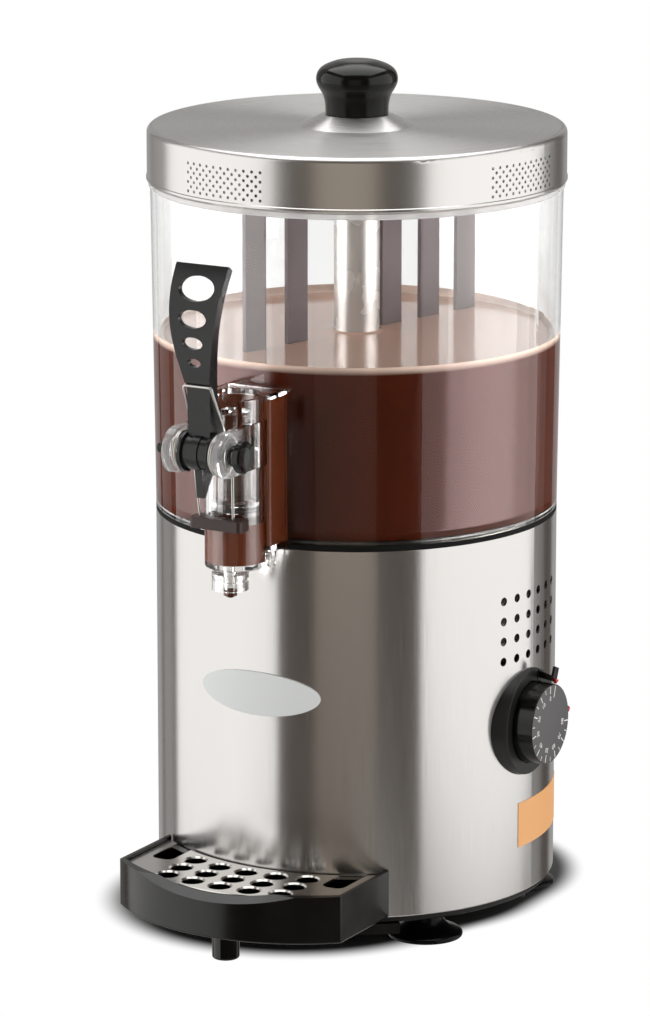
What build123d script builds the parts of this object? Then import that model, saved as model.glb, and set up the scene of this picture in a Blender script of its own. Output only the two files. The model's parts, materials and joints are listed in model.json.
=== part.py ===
"""Hot-chocolate dispenser: heated steel base, clear bowl with a spring-return
tap, rake stirrer driven from below, lid with a knob, and a drip tray.

Millimetres. The origin is on the counter, on the axis of the casing.
+Z is up, the tap and the drip tray face -Y, and the dial faces +X.
"""

import os
from math import cos, pi, radians, sin, sqrt

from build123d import *

os.makedirs("parts", exist_ok=True)

# ---------------------------------------------------------------- dimensions
CASE_R = 110.0  # outside radius of the steel casing
CASE_T = 1.0  # casing sheet
CASE_Z0 = 17.0  # bottom edge of the casing
CASE_Z1 = 220.4  # top edge of the casing
PAN_R = 108.2  # base pan
PAN_Z0 = 13.5

FOOT_X = 73.7  # rubber feet
FOOT_Y = 54.5
FOOT_R = 20.35

TANK_R = 101.0  # water bath
TANK_Z0 = 130.0
TANK_Z1 = 221.4
PIPE_R = 8.0  # guide pipe round the drive shaft
PIPE_BORE = 6.5
PIPE_Z0 = 122.0
PIPE_Z1 = 397.0
SHAFT_R = 4.0
RUN = 0.05  # radial clearance of running fits

GASKET_Z1 = 223.0
BOWL_Z0 = 223.1
BOWL_Z1 = 428.8
BOWL_R0 = 110.0  # outside radius at the foot
BOWL_R1 = 112.4  # outside radius at the rim
BOWL_T = 3.0

DISH_R = 95.0  # heated dish under the bowl
DISH_Z0 = 198.0
TUBE_R = 12.5  # centre tube in the bowl
TUBE_Z1 = 402.0

LID_R = 113.8
LID_Z0 = 403.0
LID_Z1 = 431.4
LID_T = 0.8
LID_EDGE = 3.6
BOSS_Z = 437.2
LID_TURN = -9.85  # where the lid's first patch of air holes points

AGIT_ANGLE = -15.0  # short arm of the stirrer, from the front

TAP_Y = -131.4  # axis of the tap cylinder
TAP_R = 16.2
TAP_BORE = 13.2
TAP_Z0 = 214.0
TAP_Z1 = 306.0
BOX_X = 18.6
BOX_Y = -127.5
BOX_Z0 = 222.0
BOX_Z1 = 307.0
NOZZLE_Y = -136.5
PIVOT_Y = -165.0
PIVOT_Z = 282.0
PIN_R = 3.0

DIAL_Y = -6.0
DIAL_Z = 113.3
DIAL_PLANE = 112.6  # front plane of the bezel, along X
DIAL_R = 29.0
KNOB_FACE = 123.9
POINTER_TURN = 23.0  # degrees of the pointer from the top, towards the back
SECOND_TURN = 83.0  # the same for the second, shorter index

TRAY_Z0 = 17.6
TRAY_Z1 = 43.6
TRAY_X = 68.8
TRAY_BACK = 110.9  # hollow back of the tray, round the casing
TRAY_FRONT = -165.5
TRAY_CORNER = -139.2
GRATE_Z = 40.7
GRATE_T = 1.0

GEAR_MODULE = 1.0
GEAR_TEETH = 60
PINION_TEETH = 12
GEAR_DISTANCE = GEAR_MODULE * (GEAR_TEETH + PINION_TEETH) / 2


def around(radius, degrees, z=0.0):
    """A point at a radius and an angle from the front towards +X."""
    a = radians(degrees)
    return (radius * sin(a), -radius * cos(a), z)


def outward(radius, degrees, z):
    """A plane on a cylinder about Z, facing outwards."""
    a = radians(degrees)
    return Plane(
        origin=around(radius, degrees, z),
        x_dir=(cos(a), sin(a), 0),
        z_dir=(sin(a), -cos(a), 0),
    )


def gear_points(teeth, module, backlash, phase):
    """Straight-flanked teeth, thinned by the backlash."""
    pitch_r = module * teeth / 2
    tip_r, root_r = pitch_r + 0.95 * module, pitch_r - 1.25 * module
    pitch_angle = 2 * pi / teeth
    half_pitch = (pi * module / 2 - backlash) / 2 / pitch_r
    half_tip = half_pitch - 0.95 * module * 0.40 / tip_r
    half_root = half_pitch + 1.25 * module * 0.30 / root_r
    points = []
    for i in range(teeth):
        c = phase + i * pitch_angle
        for r, a in (
            (root_r, c - half_root),
            (tip_r, c - half_tip),
            (tip_r, c + half_tip),
            (root_r, c + half_root),
        ):
            points.append((r * cos(a), r * sin(a)))
    return points


# =============================================================== base: casing
vent_places = [
    outward(CASE_R, side + (i - 2.5) * 5.87, z).location
    for side in (90.0, -90.0)
    for i in range(6)
    for z in (184.4, 173.2, 162.1, 150.9)
]

with BuildPart() as casing_shell:
    with BuildSketch(Plane.XZ):
        with BuildLine():
            Polyline(
                (97.8, CASE_Z0),
                (CASE_R, CASE_Z0),
                (CASE_R, CASE_Z1),
                (TANK_R + 0.6, CASE_Z1),
                (TANK_R + 0.6, CASE_Z1 - CASE_T),
                (CASE_R - CASE_T, CASE_Z1 - CASE_T),
                (CASE_R - CASE_T, CASE_Z0 + CASE_T),
                (97.8, CASE_Z0 + CASE_T),
                close=True,
            )
        make_face()
    revolve(axis=Axis.Z)
    rims = (
        casing_shell.edges()
        .filter_by(GeomType.CIRCLE)
        .filter_by(lambda e: abs(e.radius - CASE_R) < 0.01)
    )
    fillet(rims, 0.8)
    with Locations(*vent_places):
        Cylinder(2.4, 8, mode=Mode.SUBTRACT)
    # spindle of the thermostat and its two screws
    with Locations(
        Plane(origin=(CASE_R, DIAL_Y, DIAL_Z), x_dir=(0, 1, 0), z_dir=(1, 0, 0)).location
    ):
        Cylinder(6.5, 8, mode=Mode.SUBTRACT)
        with Locations((14, 0, 0), (-14, 0, 0)):
            Cylinder(2.25, 12, mode=Mode.SUBTRACT)
    # cable gland at the back
    with Locations(outward(CASE_R, 180, 42).location):
        Cylinder(8.1, 8, mode=Mode.SUBTRACT)
    # screws of the base pan
    with Locations(*[around(102, a, CASE_Z0) for a in (0, 90, 180, 270)]):
        Cylinder(2.2, 6, mode=Mode.SUBTRACT)
casing_shell.part.label = "casing_shell"
export_step(casing_shell.part, "parts/casing_shell.step")

foot_places = [
    (x, y) for x in (FOOT_X, -FOOT_X) for y in (FOOT_Y, -FOOT_Y)
]
bridge_feet = [(x, y) for x in (28, -28) for y in (88, -88)]

with BuildPart() as base_pan:
    with BuildSketch(Plane.XY.offset(PAN_Z0)):
        Circle(PAN_R)
    extrude(amount=CASE_Z0 - PAN_Z0)
    fillet(base_pan.faces().sort_by(Axis.Z)[0].edges(), 1.2)
    with BuildSketch(Plane.XY.offset(PAN_Z0)):
        with Locations(*foot_places):
            Circle(3.2)
        with Locations(*[around(102, a)[:2] for a in (0, 90, 180, 270)]):
            Circle(2.2)
        with Locations((45, -80), (-45, -80)):
            Circle(2.0)
        with Locations(*bridge_feet):
            Circle(2.5)
        # air slots under the motor
        with Locations((0, 0)):
            with GridLocations(60, 12, 2, 5):
                SlotOverall(34, 5)
    extrude(amount=CASE_Z0 - PAN_Z0, mode=Mode.SUBTRACT)
base_pan.part.label = "base_pan"
export_step(base_pan.part, "parts/base_pan.step")

with BuildPart() as suction_feet:
    for fx, fy in foot_places:
        with BuildSketch(Plane.XZ.offset(-fy)):
            with BuildLine():
                a = Polyline(
                    (fx + 3.0, 3.6),
                    (fx + 15.5, 0),
                    (fx + FOOT_R - 0.3, 0),
                )
                b = Spline(
                    a @ 1,
                    (fx + FOOT_R, 1.2),
                    (fx + 17.2, 3.6),
                    (fx + 12.0, 6.4),
                    (fx + 9.8, 9.6),
                    (fx + 9.5, PAN_Z0),
                )
                Polyline(b @ 1, (fx + 3.0, PAN_Z0), a @ 0)
            make_face()
        revolve(axis=Axis((fx, fy, 0), (0, 0, 1)))
suction_feet.part.label = "suction_feet"
export_step(suction_feet.part, "parts/suction_feet.step")

with BuildPart() as foot_studs:
    with BuildSketch(Plane.XY.offset(4.2)):
        with Locations(*foot_places):
            Circle(3.0)
    extrude(amount=20.8)
foot_studs.part.label = "foot_studs"
export_step(foot_studs.part, "parts/foot_studs.step")

with BuildPart() as foot_nuts:
    with BuildSketch(Plane.XY.offset(CASE_Z0)):
        with Locations(*foot_places):
            RegularPolygon(5.75, 6)
        with Locations(*foot_places):
            Circle(3.0, mode=Mode.SUBTRACT)
    extrude(amount=5)
foot_nuts.part.label = "foot_nuts"
export_step(foot_nuts.part, "parts/foot_nuts.step")

m4_places = [around(102, a, PAN_Z0) for a in (0, 90, 180, 270)] + [
    (45, -80, 12.0),
    (-45, -80, 12.0),
]
with BuildPart() as m4_screws:
    for px, py, pz in m4_places:
        with BuildSketch(Plane.XY.offset(pz)):
            with Locations((px, py)):
                Circle(4.0)
        extrude(amount=-2.4)
        with BuildSketch(Plane.XY.offset(pz)):
            with Locations((px, py)):
                Circle(2.0)
        extrude(amount=8)
        with BuildSketch(Plane.XY.offset(pz - 2.4)):
            with Locations((px, py)):
                RegularPolygon(1.7, 6)
        extrude(amount=1.3, mode=Mode.SUBTRACT)
m4_screws.part.label = "m4_screws"
export_step(m4_screws.part, "parts/m4_screws.step")

with BuildPart() as clinch_nuts:
    with BuildSketch(Plane.XY.offset(CASE_Z0 + CASE_T)):
        with Locations(*[around(102, a)[:2] for a in (0, 90, 180, 270)]):
            Circle(4.2)
            Circle(2.0, mode=Mode.SUBTRACT)
    extrude(amount=3.5)
clinch_nuts.part.label = "clinch_nuts"
export_step(clinch_nuts.part, "parts/clinch_nuts.step")

# curved strip under the front of the pan, slotted for the tray's tongues
with BuildPart() as tray_bracket:
    with BuildSketch(Plane.XZ):
        with BuildLine():
            Polyline(
                (84, PAN_Z0 - 1.5),
                (106.8, PAN_Z0 - 1.5),
                (106.8, 7.5),
                (109.2, 7.5),
                (109.2, PAN_Z0 - 0.1),
                (107.0, PAN_Z0 - 0.1),
                (107.0, PAN_Z0),
                (84, PAN_Z0),
                close=True,
            )
        make_face()
    revolve(axis=Axis.Z, revolution_arc=83.6)
tray_strip = tray_bracket.part.rotate(Axis.Z, -90 - 41.8)
with BuildPart() as tray_bracket:
    add(tray_strip)
    with Locations((0, -102, PAN_Z0 - 1)):
        Cylinder(5.5, 8, mode=Mode.SUBTRACT)
    with Locations((45, -80, PAN_Z0 - 1), (-45, -80, PAN_Z0 - 1)):
        Cylinder(2.2, 8, mode=Mode.SUBTRACT)
    with Locations((30, -104, 10), (-30, -104, 10)):
        Box(16.5, 24, 3.2, mode=Mode.SUBTRACT)
    with Locations((FOOT_X, -FOOT_Y, 10), (-FOOT_X, -FOOT_Y, 10)):
        Cylinder(15, 12, mode=Mode.SUBTRACT)
tray_bracket.part.label = "tray_bracket"
export_step(tray_bracket.part, "parts/tray_bracket.step")

# ============================================================ base: water bath
POCKET = (40, -20)
CUTOUT = (-45, -30)
ELEMENT_R = 70.0
ELEMENT_LEGS = [(12.0, 69.0), (-12.0, 69.0)]

with BuildPart() as water_tank:
    with BuildSketch(Plane.XZ):
        with BuildLine():
            Polyline(
                (PIPE_R, TANK_Z0),
                (TANK_R, TANK_Z0),
                (TANK_R, TANK_Z1 - 1.0),
                (108.9, TANK_Z1 - 1.0),
                (108.9, TANK_Z1),
                (TANK_R - 1.0, TANK_Z1),
                (TANK_R - 1.0, TANK_Z0 + 1.0),
                (PIPE_R, TANK_Z0 + 1.0),
                close=True,
            )
        make_face()
    revolve(axis=Axis.Z)
    low = (
        water_tank.edges()
        .filter_by(GeomType.CIRCLE)
        .filter_by(
            lambda e: abs(e.radius - TANK_R) < 0.01
            and abs(e.center().Z - TANK_Z0) < 0.01
        )
    )
    fillet(low, 0.9)
    with Locations(*[(x, y, TANK_Z0) for x, y in ELEMENT_LEGS]):
        Cylinder(5.0, 6, mode=Mode.SUBTRACT)
    with Locations((*POCKET, TANK_Z0)):
        Cylinder(4.0, 6, mode=Mode.SUBTRACT)
water_tank.part.label = "water_tank"
export_step(water_tank.part, "parts/water_tank.step")

with BuildPart() as guide_pipe:
    with BuildSketch(Plane.XY.offset(PIPE_Z0)):
        Circle(PIPE_R)
        Circle(PIPE_BORE, mode=Mode.SUBTRACT)
    extrude(amount=PIPE_Z1 - PIPE_Z0)
guide_pipe.part.label = "guide_pipe"
export_step(guide_pipe.part, "parts/guide_pipe.step")

with BuildPart() as shaft_bushes:
    for z_flange, way in ((PIPE_Z1, 1), (PIPE_Z0, -1)):
        with BuildSketch(Plane.XY.offset(z_flange)):
            Circle(PIPE_R)
            Circle(SHAFT_R + RUN, mode=Mode.SUBTRACT)
        extrude(amount=1.5 * way)
        with BuildSketch(Plane.XY.offset(z_flange)):
            Circle(PIPE_BORE)
            Circle(SHAFT_R + RUN, mode=Mode.SUBTRACT)
        extrude(amount=-12 * way)
shaft_bushes.part.label = "shaft_bushes"
export_step(shaft_bushes.part, "parts/shaft_bushes.step")

# tubular element: an open ring with two legs through the tank's floor
leg_angle = 2 * 9.8664
with BuildPart() as element_ring:
    with BuildSketch(Plane.XZ):
        with Locations((sqrt(12.0**2 + 69.0**2), 152)):
            Circle(4.0)
    revolve(axis=Axis.Z, revolution_arc=360 - leg_angle)
ring_turned = element_ring.part.rotate(Axis.Z, 90 + leg_angle / 2)
with BuildPart() as heating_element:
    add(ring_turned)
    with Locations(*[(x, y, 152) for x, y in ELEMENT_LEGS]):
        Sphere(4.0)
    with BuildSketch(Plane.XY.offset(120)):
        with Locations(*ELEMENT_LEGS):
            Circle(4.0)
    extrude(amount=32)
    with BuildSketch(Plane.XY.offset(114)):
        with Locations(*ELEMENT_LEGS):
            Circle(1.8)
    extrude(amount=6)
heating_element.part.label = "heating_element"
export_step(heating_element.part, "parts/heating_element.step")

with BuildPart() as element_nuts:
    # threaded sleeve through the floor with a flange above and a nut below
    with BuildSketch(Plane.XY.offset(TANK_Z0 + 1.0)):
        with Locations(*ELEMENT_LEGS):
            Circle(7.5)
            Circle(4.0, mode=Mode.SUBTRACT)
    extrude(amount=2)
    with BuildSketch(Plane.XY.offset(TANK_Z0 - 6)):
        with Locations(*ELEMENT_LEGS):
            Circle(5.0)
            Circle(4.0, mode=Mode.SUBTRACT)
    extrude(amount=7)
    with BuildSketch(Plane.XY.offset(TANK_Z0 - 5)):
        with Locations(*ELEMENT_LEGS):
            RegularPolygon(8.0, 6)
            Circle(4.0, mode=Mode.SUBTRACT)
    extrude(amount=5)
element_nuts.part.label = "element_nuts"
export_step(element_nuts.part, "parts/element_nuts.step")

with BuildPart() as bulb_pocket:
    with BuildSketch(Plane.XY.offset(126)):
        with Locations(POCKET):
            Circle(4.0)
    extrude(amount=54)
    fillet(bulb_pocket.faces().sort_by(Axis.Z)[-1].edges(), 2.0)
    with BuildSketch(Plane.XY.offset(126)):
        with Locations(POCKET):
            Circle(2.9)
    extrude(amount=52, mode=Mode.SUBTRACT)
bulb_pocket.part.label = "bulb_pocket"
export_step(bulb_pocket.part, "parts/bulb_pocket.step")

# ============================================================ base: controls
with BuildPart() as thermostat:
    with BuildSketch(Plane.YZ.offset(74)):
        with Locations((DIAL_Y, DIAL_Z)):
            RectangleRounded(36, 32, 3)
    extrude(amount=28)
    with BuildSketch(Plane.YZ.offset(102)):
        with Locations((DIAL_Y, DIAL_Z)):
            Circle(5.5)
    extrude(amount=7.6)
    with BuildSketch(Plane.YZ.offset(74)):
        with Locations((DIAL_Y + 10, DIAL_Z), (DIAL_Y - 10, DIAL_Z)):
            Rectangle(1.0, 6.3)
    extrude(amount=-7)
    with BuildSketch(Plane.YZ.offset(110)):
        with Locations((DIAL_Y, DIAL_Z)):
            Circle(3.0 + RUN)
    extrude(amount=-22, mode=Mode.SUBTRACT)
    with BuildSketch(Plane.YZ.offset(102)):
        with Locations((DIAL_Y + 14, DIAL_Z), (DIAL_Y - 14, DIAL_Z)):
            Circle(2.0)
    extrude(amount=-12, mode=Mode.SUBTRACT)
thermostat.part.label = "thermostat"
export_step(thermostat.part, "parts/thermostat.step")

with BuildPart() as thermostat_bulb:
    with BuildSketch(Plane.XY.offset(130)):
        with Locations(POCKET):
            Circle(2.8)
    extrude(amount=46)
    with BuildLine() as capillary:
        FilletPolyline(
            (POCKET[0], POCKET[1], 130.0),
            (POCKET[0], POCKET[1], 119.0),
            (62, -8, 119.0),
            (74.0, -4, 119.0),
            radius=4,
        )
    with BuildSketch(Plane(origin=capillary.line @ 0, z_dir=capillary.line % 0)):
        Circle(0.9)
    sweep(path=capillary.line)
thermostat_bulb.part.label = "thermostat_bulb"
export_step(thermostat_bulb.part, "parts/thermostat_bulb.step")

with BuildPart() as safety_cutout:
    with BuildSketch(Plane.XY.offset(TANK_Z0)):
        with Locations(CUTOUT):
            Circle(12.0)
    extrude(amount=-1.2)
    with BuildSketch(Plane.XY.offset(TANK_Z0 - 1.2)):
        with Locations(CUTOUT):
            Circle(8.0)
    extrude(amount=-8)
    with BuildSketch(Plane.XY.offset(TANK_Z0 - 9.2)):
        with Locations((CUTOUT[0] + 4, CUTOUT[1]), (CUTOUT[0] - 4, CUTOUT[1])):
            Rectangle(0.9, 6.3)
    extrude(amount=-7)
safety_cutout.part.label = "safety_cutout"
export_step(safety_cutout.part, "parts/safety_cutout.step")

# saddle-shaped ring: flat in front, flared back to the curved casing
with BuildPart() as dial_bezel:
    with BuildSketch(Plane.XZ.offset(-DIAL_Y)):
        with BuildLine():
            Polyline(
                (96, DIAL_Z),
                (DIAL_PLANE, DIAL_Z),
                (DIAL_PLANE, DIAL_Z + DIAL_R),
                (DIAL_PLANE - 2, DIAL_Z + DIAL_R + 0.3),
                (96, DIAL_Z + DIAL_R + 3.6),
                close=True,
            )
        make_face()
    revolve(axis=Axis((0, DIAL_Y, DIAL_Z), (1, 0, 0)))
    front_edge = (
        dial_bezel.edges()
        .filter_by(GeomType.CIRCLE)
        .sort_by(Axis.X)[-1]
    )
    fillet(front_edge, 0.5)
    Cylinder(CASE_R, 400, mode=Mode.SUBTRACT)
    # shallow well in which the knob turns
    with BuildSketch(Plane.YZ.offset(DIAL_PLANE)):
        with Locations((DIAL_Y, DIAL_Z)):
            Circle(22.9)
    extrude(amount=-1.2, mode=Mode.SUBTRACT)
    with BuildSketch(Plane.YZ.offset(DIAL_PLANE)):
        with Locations((DIAL_Y, DIAL_Z)):
            Circle(6.0)
        with Locations((DIAL_Y + 14, DIAL_Z), (DIAL_Y - 14, DIAL_Z)):
            Circle(2.1)
    extrude(amount=-8, mode=Mode.SUBTRACT)
    # thin slit beside the foot of the pointer
    with BuildSketch(Plane.YZ.offset(DIAL_PLANE)):
        with Locations((DIAL_Y + 6.86, DIAL_Z + 25.1)):
            Rectangle(0.9, 8.0, rotation=8.0 - POINTER_TURN)
    extrude(amount=-3, mode=Mode.SUBTRACT)
dial_bezel.part.label = "dial_bezel"
export_step(dial_bezel.part, "parts/dial_bezel.step")

with BuildPart() as pointer_upright:
    # arm out from the ring, sloping in, with a thin plate stood on its end
    with BuildSketch(Plane.XZ.offset(-DIAL_Y - 2.5)):
        with BuildLine():
            Polyline(
                (DIAL_PLANE, DIAL_Z + 24.4),
                (119.6, DIAL_Z + 23.4),
                (121.6, DIAL_Z + 23.4),
                (121.6, DIAL_Z + 31.3),
                (120.2, DIAL_Z + 31.3),
                (120.2, DIAL_Z + 26.2),
                (DIAL_PLANE, DIAL_Z + 27.9),
                close=True,
            )
        make_face()
    extrude(amount=5.0)
    fillet(pointer_upright.edges().filter_by(Axis.X), 0.4)
with BuildPart() as stub_upright:
    # second arm, lower and without a plate
    with BuildSketch(Plane.XZ.offset(-DIAL_Y - 1.5)):
        with BuildLine():
            Polyline(
                (DIAL_PLANE, DIAL_Z + 24.4),
                (121.6, DIAL_Z + 23.2),
                (121.6, DIAL_Z + 25.0),
                (DIAL_PLANE, DIAL_Z + 27.4),
                close=True,
            )
        make_face()
    extrude(amount=3.0)
pointer_turned = pointer_upright.part.rotate(
    Axis((0, DIAL_Y, DIAL_Z), (1, 0, 0)), -POINTER_TURN
)
stub_turned = stub_upright.part.rotate(
    Axis((0, DIAL_Y, DIAL_Z), (1, 0, 0)), -SECOND_TURN
)
with BuildPart() as dial_pointer:
    add(pointer_turned)
    add(stub_turned)
dial_pointer.part.label = "dial_pointer"
export_step(dial_pointer.part, "parts/dial_pointer.step")

with BuildPart() as marks_upright:
    # red tip on the plate, down to the edge of the knob
    with BuildSketch(Plane.YZ.offset(121.6)):
        with BuildLine():
            Polyline(
                (DIAL_Y - 2.2, DIAL_Z + 24.8),
                (DIAL_Y + 2.2, DIAL_Z + 24.8),
                (DIAL_Y, DIAL_Z + 22.3),
                close=True,
            )
        make_face()
    extrude(amount=1.4)
with BuildPart() as second_upright:
    # red end of the second arm
    with BuildSketch(Plane.YZ.offset(121.6)):
        with BuildLine():
            Polyline(
                (DIAL_Y - 1.7, DIAL_Z + 23.8),
                (DIAL_Y, DIAL_Z + 25.4),
                (DIAL_Y + 1.7, DIAL_Z + 23.8),
                (DIAL_Y, DIAL_Z + 22.4),
                close=True,
            )
        make_face()
    extrude(amount=1.6)
marks_turned = marks_upright.part.rotate(
    Axis((0, DIAL_Y, DIAL_Z), (1, 0, 0)), -POINTER_TURN
)
second_turned = second_upright.part.rotate(
    Axis((0, DIAL_Y, DIAL_Z), (1, 0, 0)), -SECOND_TURN
)
with BuildPart() as index_marks:
    add(marks_turned)
    add(second_turned)
index_marks.part.label = "index_marks"
export_step(index_marks.part, "parts/index_marks.step")

with BuildPart() as thermostat_screws:
    with BuildSketch(Plane.YZ.offset(DIAL_PLANE - 1.2)):
        with Locations((DIAL_Y + 14, DIAL_Z), (DIAL_Y - 14, DIAL_Z)):
            Circle(3.6)
    extrude(amount=2.0)
    fillet(thermostat_screws.faces().filter_by(Axis.X).group_by(Axis.X)[-1].edges(), 1.2)
    with BuildSketch(Plane.YZ.offset(DIAL_PLANE - 1.2)):
        with Locations((DIAL_Y + 14, DIAL_Z), (DIAL_Y - 14, DIAL_Z)):
            Circle(2.0)
    extrude(amount=-18)
thermostat_screws.part.label = "thermostat_screws"
export_step(thermostat_screws.part, "parts/thermostat_screws.step")

with BuildPart() as badge_plate:
    with BuildSketch(Plane.XZ.offset(100)):
        with Locations((0, 138.8)):
            Ellipse(36.3, 12.0)
    extrude(amount=20)
    with BuildPart(mode=Mode.PRIVATE) as skin:
        with Locations((0, 0, 139)):
            Cylinder(CASE_R + 0.7, 60)
            Cylinder(CASE_R, 60, mode=Mode.SUBTRACT)
    add(skin.part, mode=Mode.INTERSECT)
badge_plate.part.label = "badge_plate"
export_step(badge_plate.part, "parts/badge_plate.step")

with BuildPart() as side_label:
    with BuildSketch(Plane.XZ):
        with BuildLine():
            Polyline(
                (CASE_R, 43.4),
                (CASE_R + 0.25, 43.4),
                (CASE_R + 0.25, 68.5),
                (CASE_R, 68.5),
                close=True,
            )
        make_face()
    revolve(axis=Axis.Z, revolution_arc=36.0)
label_turned = side_label.part.rotate(Axis.Z, -7.45)
with BuildPart() as side_label:
    add(label_turned)
side_label.part.label = "side_label"
export_step(side_label.part, "parts/side_label.step")

with BuildPart() as bowl_gasket:
    with BuildSketch(Plane.XZ):
        with BuildLine():
            Polyline(
                (TANK_R + 1.0, TANK_Z1),
                (108.9, TANK_Z1),
                (108.9, CASE_Z1 + 0.1),
                (110.0, CASE_Z1 + 0.1),
                (110.0, GASKET_Z1),
                (TANK_R + 1.0, GASKET_Z1),
                close=True,
            )
        make_face()
    revolve(axis=Axis.Z)
bowl_gasket.part.label = "bowl_gasket"
export_step(bowl_gasket.part, "parts/bowl_gasket.step")

# ========================================================= base: motor drive
with BuildPart() as motor_bridge:
    with BuildSketch(Plane.YZ.offset(-40)):
        with BuildLine():
            Polyline(
                (-96, CASE_Z0),
                (-78, CASE_Z0),
                (-78, 108),
                (78, 108),
                (78, CASE_Z0),
                (96, CASE_Z0),
                (96, CASE_Z0 + 2),
                (80, CASE_Z0 + 2),
                (80, 110),
                (-80, 110),
                (-80, CASE_Z0 + 2),
                (-96, CASE_Z0 + 2),
                close=True,
            )
        make_face()
    extrude(amount=80)
    # the feet of the bridge end inside the casing's lower flange
    with BuildSketch(Plane.XY.offset(CASE_Z0)):
        Circle(130)
        Circle(97.2, mode=Mode.SUBTRACT)
    extrude(amount=4, mode=Mode.SUBTRACT)
    with Locations(*[(x, y, CASE_Z0) for x, y in bridge_feet]):
        Cylinder(2.5, 8, mode=Mode.SUBTRACT)
    with Locations((0, 0, 109)):
        Cylinder(10, 6, mode=Mode.SUBTRACT)
    with Locations(*[(x, y, 109) for x in (33.5, -33.5) for y in (-33.5, 48.5)]):
        Cylinder(2.0, 6, mode=Mode.SUBTRACT)
motor_bridge.part.label = "motor_bridge"
export_step(motor_bridge.part, "parts/motor_bridge.step")

with BuildPart() as bridge_screws:
    with BuildSketch(Plane.XY.offset(CASE_Z0 + 2)):
        with Locations(*bridge_feet):
            Circle(4.6)
    extrude(amount=3)
    fillet(bridge_screws.faces().sort_by(Axis.Z)[-4:].edges(), 1.2)
    with BuildSketch(Plane.XY.offset(CASE_Z0 + 2)):
        with Locations(*bridge_feet):
            Circle(2.5)
    extrude(amount=-5.5)
bridge_screws.part.label = "bridge_screws"
export_step(bridge_screws.part, "parts/bridge_screws.step")

box_mid = (0, 7.5)
with BuildPart() as gearbox_housing:
    with BuildSketch(Plane.XY.offset(80)):
        with Locations(box_mid):
            RectangleRounded(76, 91, 6)
    extrude(amount=24)
    with BuildSketch(Plane.XY.offset(83)):
        with Locations(box_mid):
            RectangleRounded(70, 85, 4)
    extrude(amount=21, mode=Mode.SUBTRACT)
    with BuildSketch(Plane.XY.offset(83)):
        Circle(11)
        with Locations(*[(x, y) for x in (33.5, -33.5) for y in (-33.5, 48.5)]):
            Circle(4.2)
    extrude(amount=4)
    with BuildSketch(Plane.XY.offset(87)):
        with Locations(*[(x, y) for x in (33.5, -33.5) for y in (-33.5, 48.5)]):
            Circle(4.2)
    extrude(amount=17)
    with BuildSketch(Plane.XY.offset(80)):
        Circle(7)
        with Locations((0, GEAR_DISTANCE)):
            Circle(5)
    extrude(amount=10, mode=Mode.SUBTRACT)
    with BuildSketch(Plane.XY.offset(104)):
        with Locations(*[(x, y) for x in (33.5, -33.5) for y in (-33.5, 48.5)]):
            Circle(2.0)
    extrude(amount=-14, mode=Mode.SUBTRACT)
gearbox_housing.part.label = "gearbox_housing"
export_step(gearbox_housing.part, "parts/gearbox_housing.step")

with BuildPart() as gearbox_cover:
    with BuildSketch(Plane.XY.offset(104)):
        with Locations(box_mid):
            RectangleRounded(76, 91, 6)
        Circle(6, mode=Mode.SUBTRACT)
        with Locations(*[(x, y) for x in (33.5, -33.5) for y in (-33.5, 48.5)]):
            Circle(2.0, mode=Mode.SUBTRACT)
    extrude(amount=4)
gearbox_cover.part.label = "gearbox_cover"
export_step(gearbox_cover.part, "parts/gearbox_cover.step")

with BuildPart() as gearbox_screws:
    for sx in (33.5, -33.5):
        for sy in (-33.5, 48.5):
            with BuildSketch(Plane.XY.offset(110)):
                with Locations((sx, sy)):
                    Circle(3.8)
            extrude(amount=3)
            with BuildSketch(Plane.XY.offset(110)):
                with Locations((sx, sy)):
                    Circle(2.0)
            extrude(amount=-19)
            with BuildSketch(Plane.XY.offset(113)):
                with Locations((sx, sy)):
                    RegularPolygon(1.7, 6)
            extrude(amount=-1.6, mode=Mode.SUBTRACT)
gearbox_screws.part.label = "gearbox_screws"
export_step(gearbox_screws.part, "parts/gearbox_screws.step")

with BuildPart() as gear_bush:
    with BuildSketch(Plane.XY.offset(80)):
        Circle(7)
        Circle(SHAFT_R + RUN, mode=Mode.SUBTRACT)
    extrude(amount=7)
gear_bush.part.label = "gear_bush"
export_step(gear_bush.part, "parts/gear_bush.step")

with BuildPart() as motor_can:
    with BuildSketch(Plane.XY.offset(36)):
        with Locations((0, GEAR_DISTANCE)):
            Circle(28)
    extrude(amount=44)
    with BuildSketch(Plane.XY.offset(74)):
        with Locations((0, GEAR_DISTANCE)):
            RectangleRounded(66, 30, 6)
    extrude(amount=6)
    fillet(motor_can.faces().sort_by(Axis.Z)[0].edges(), 3)
    with BuildSketch(Plane.XY.offset(42)):
        with Locations((0, GEAR_DISTANCE)):
            Circle(15.5)
    extrude(amount=30, mode=Mode.SUBTRACT)
    with BuildSketch(Plane.XY.offset(38)):
        with Locations((0, GEAR_DISTANCE)):
            Circle(2.5 + RUN)
    extrude(amount=42, mode=Mode.SUBTRACT)
motor_can.part.label = "motor_can"
export_step(motor_can.part, "parts/motor_can.step")

with BuildPart() as motor_rotor:
    with BuildSketch(Plane.XY.offset(45)):
        with Locations((0, GEAR_DISTANCE)):
            Circle(14.6)
    extrude(amount=24)
    with BuildSketch(Plane.XY.offset(39)):
        with Locations((0, GEAR_DISTANCE)):
            Circle(2.5)
    extrude(amount=60)
motor_rotor.part.label = "motor_rotor"
export_step(motor_rotor.part, "parts/motor_rotor.step")

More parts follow.
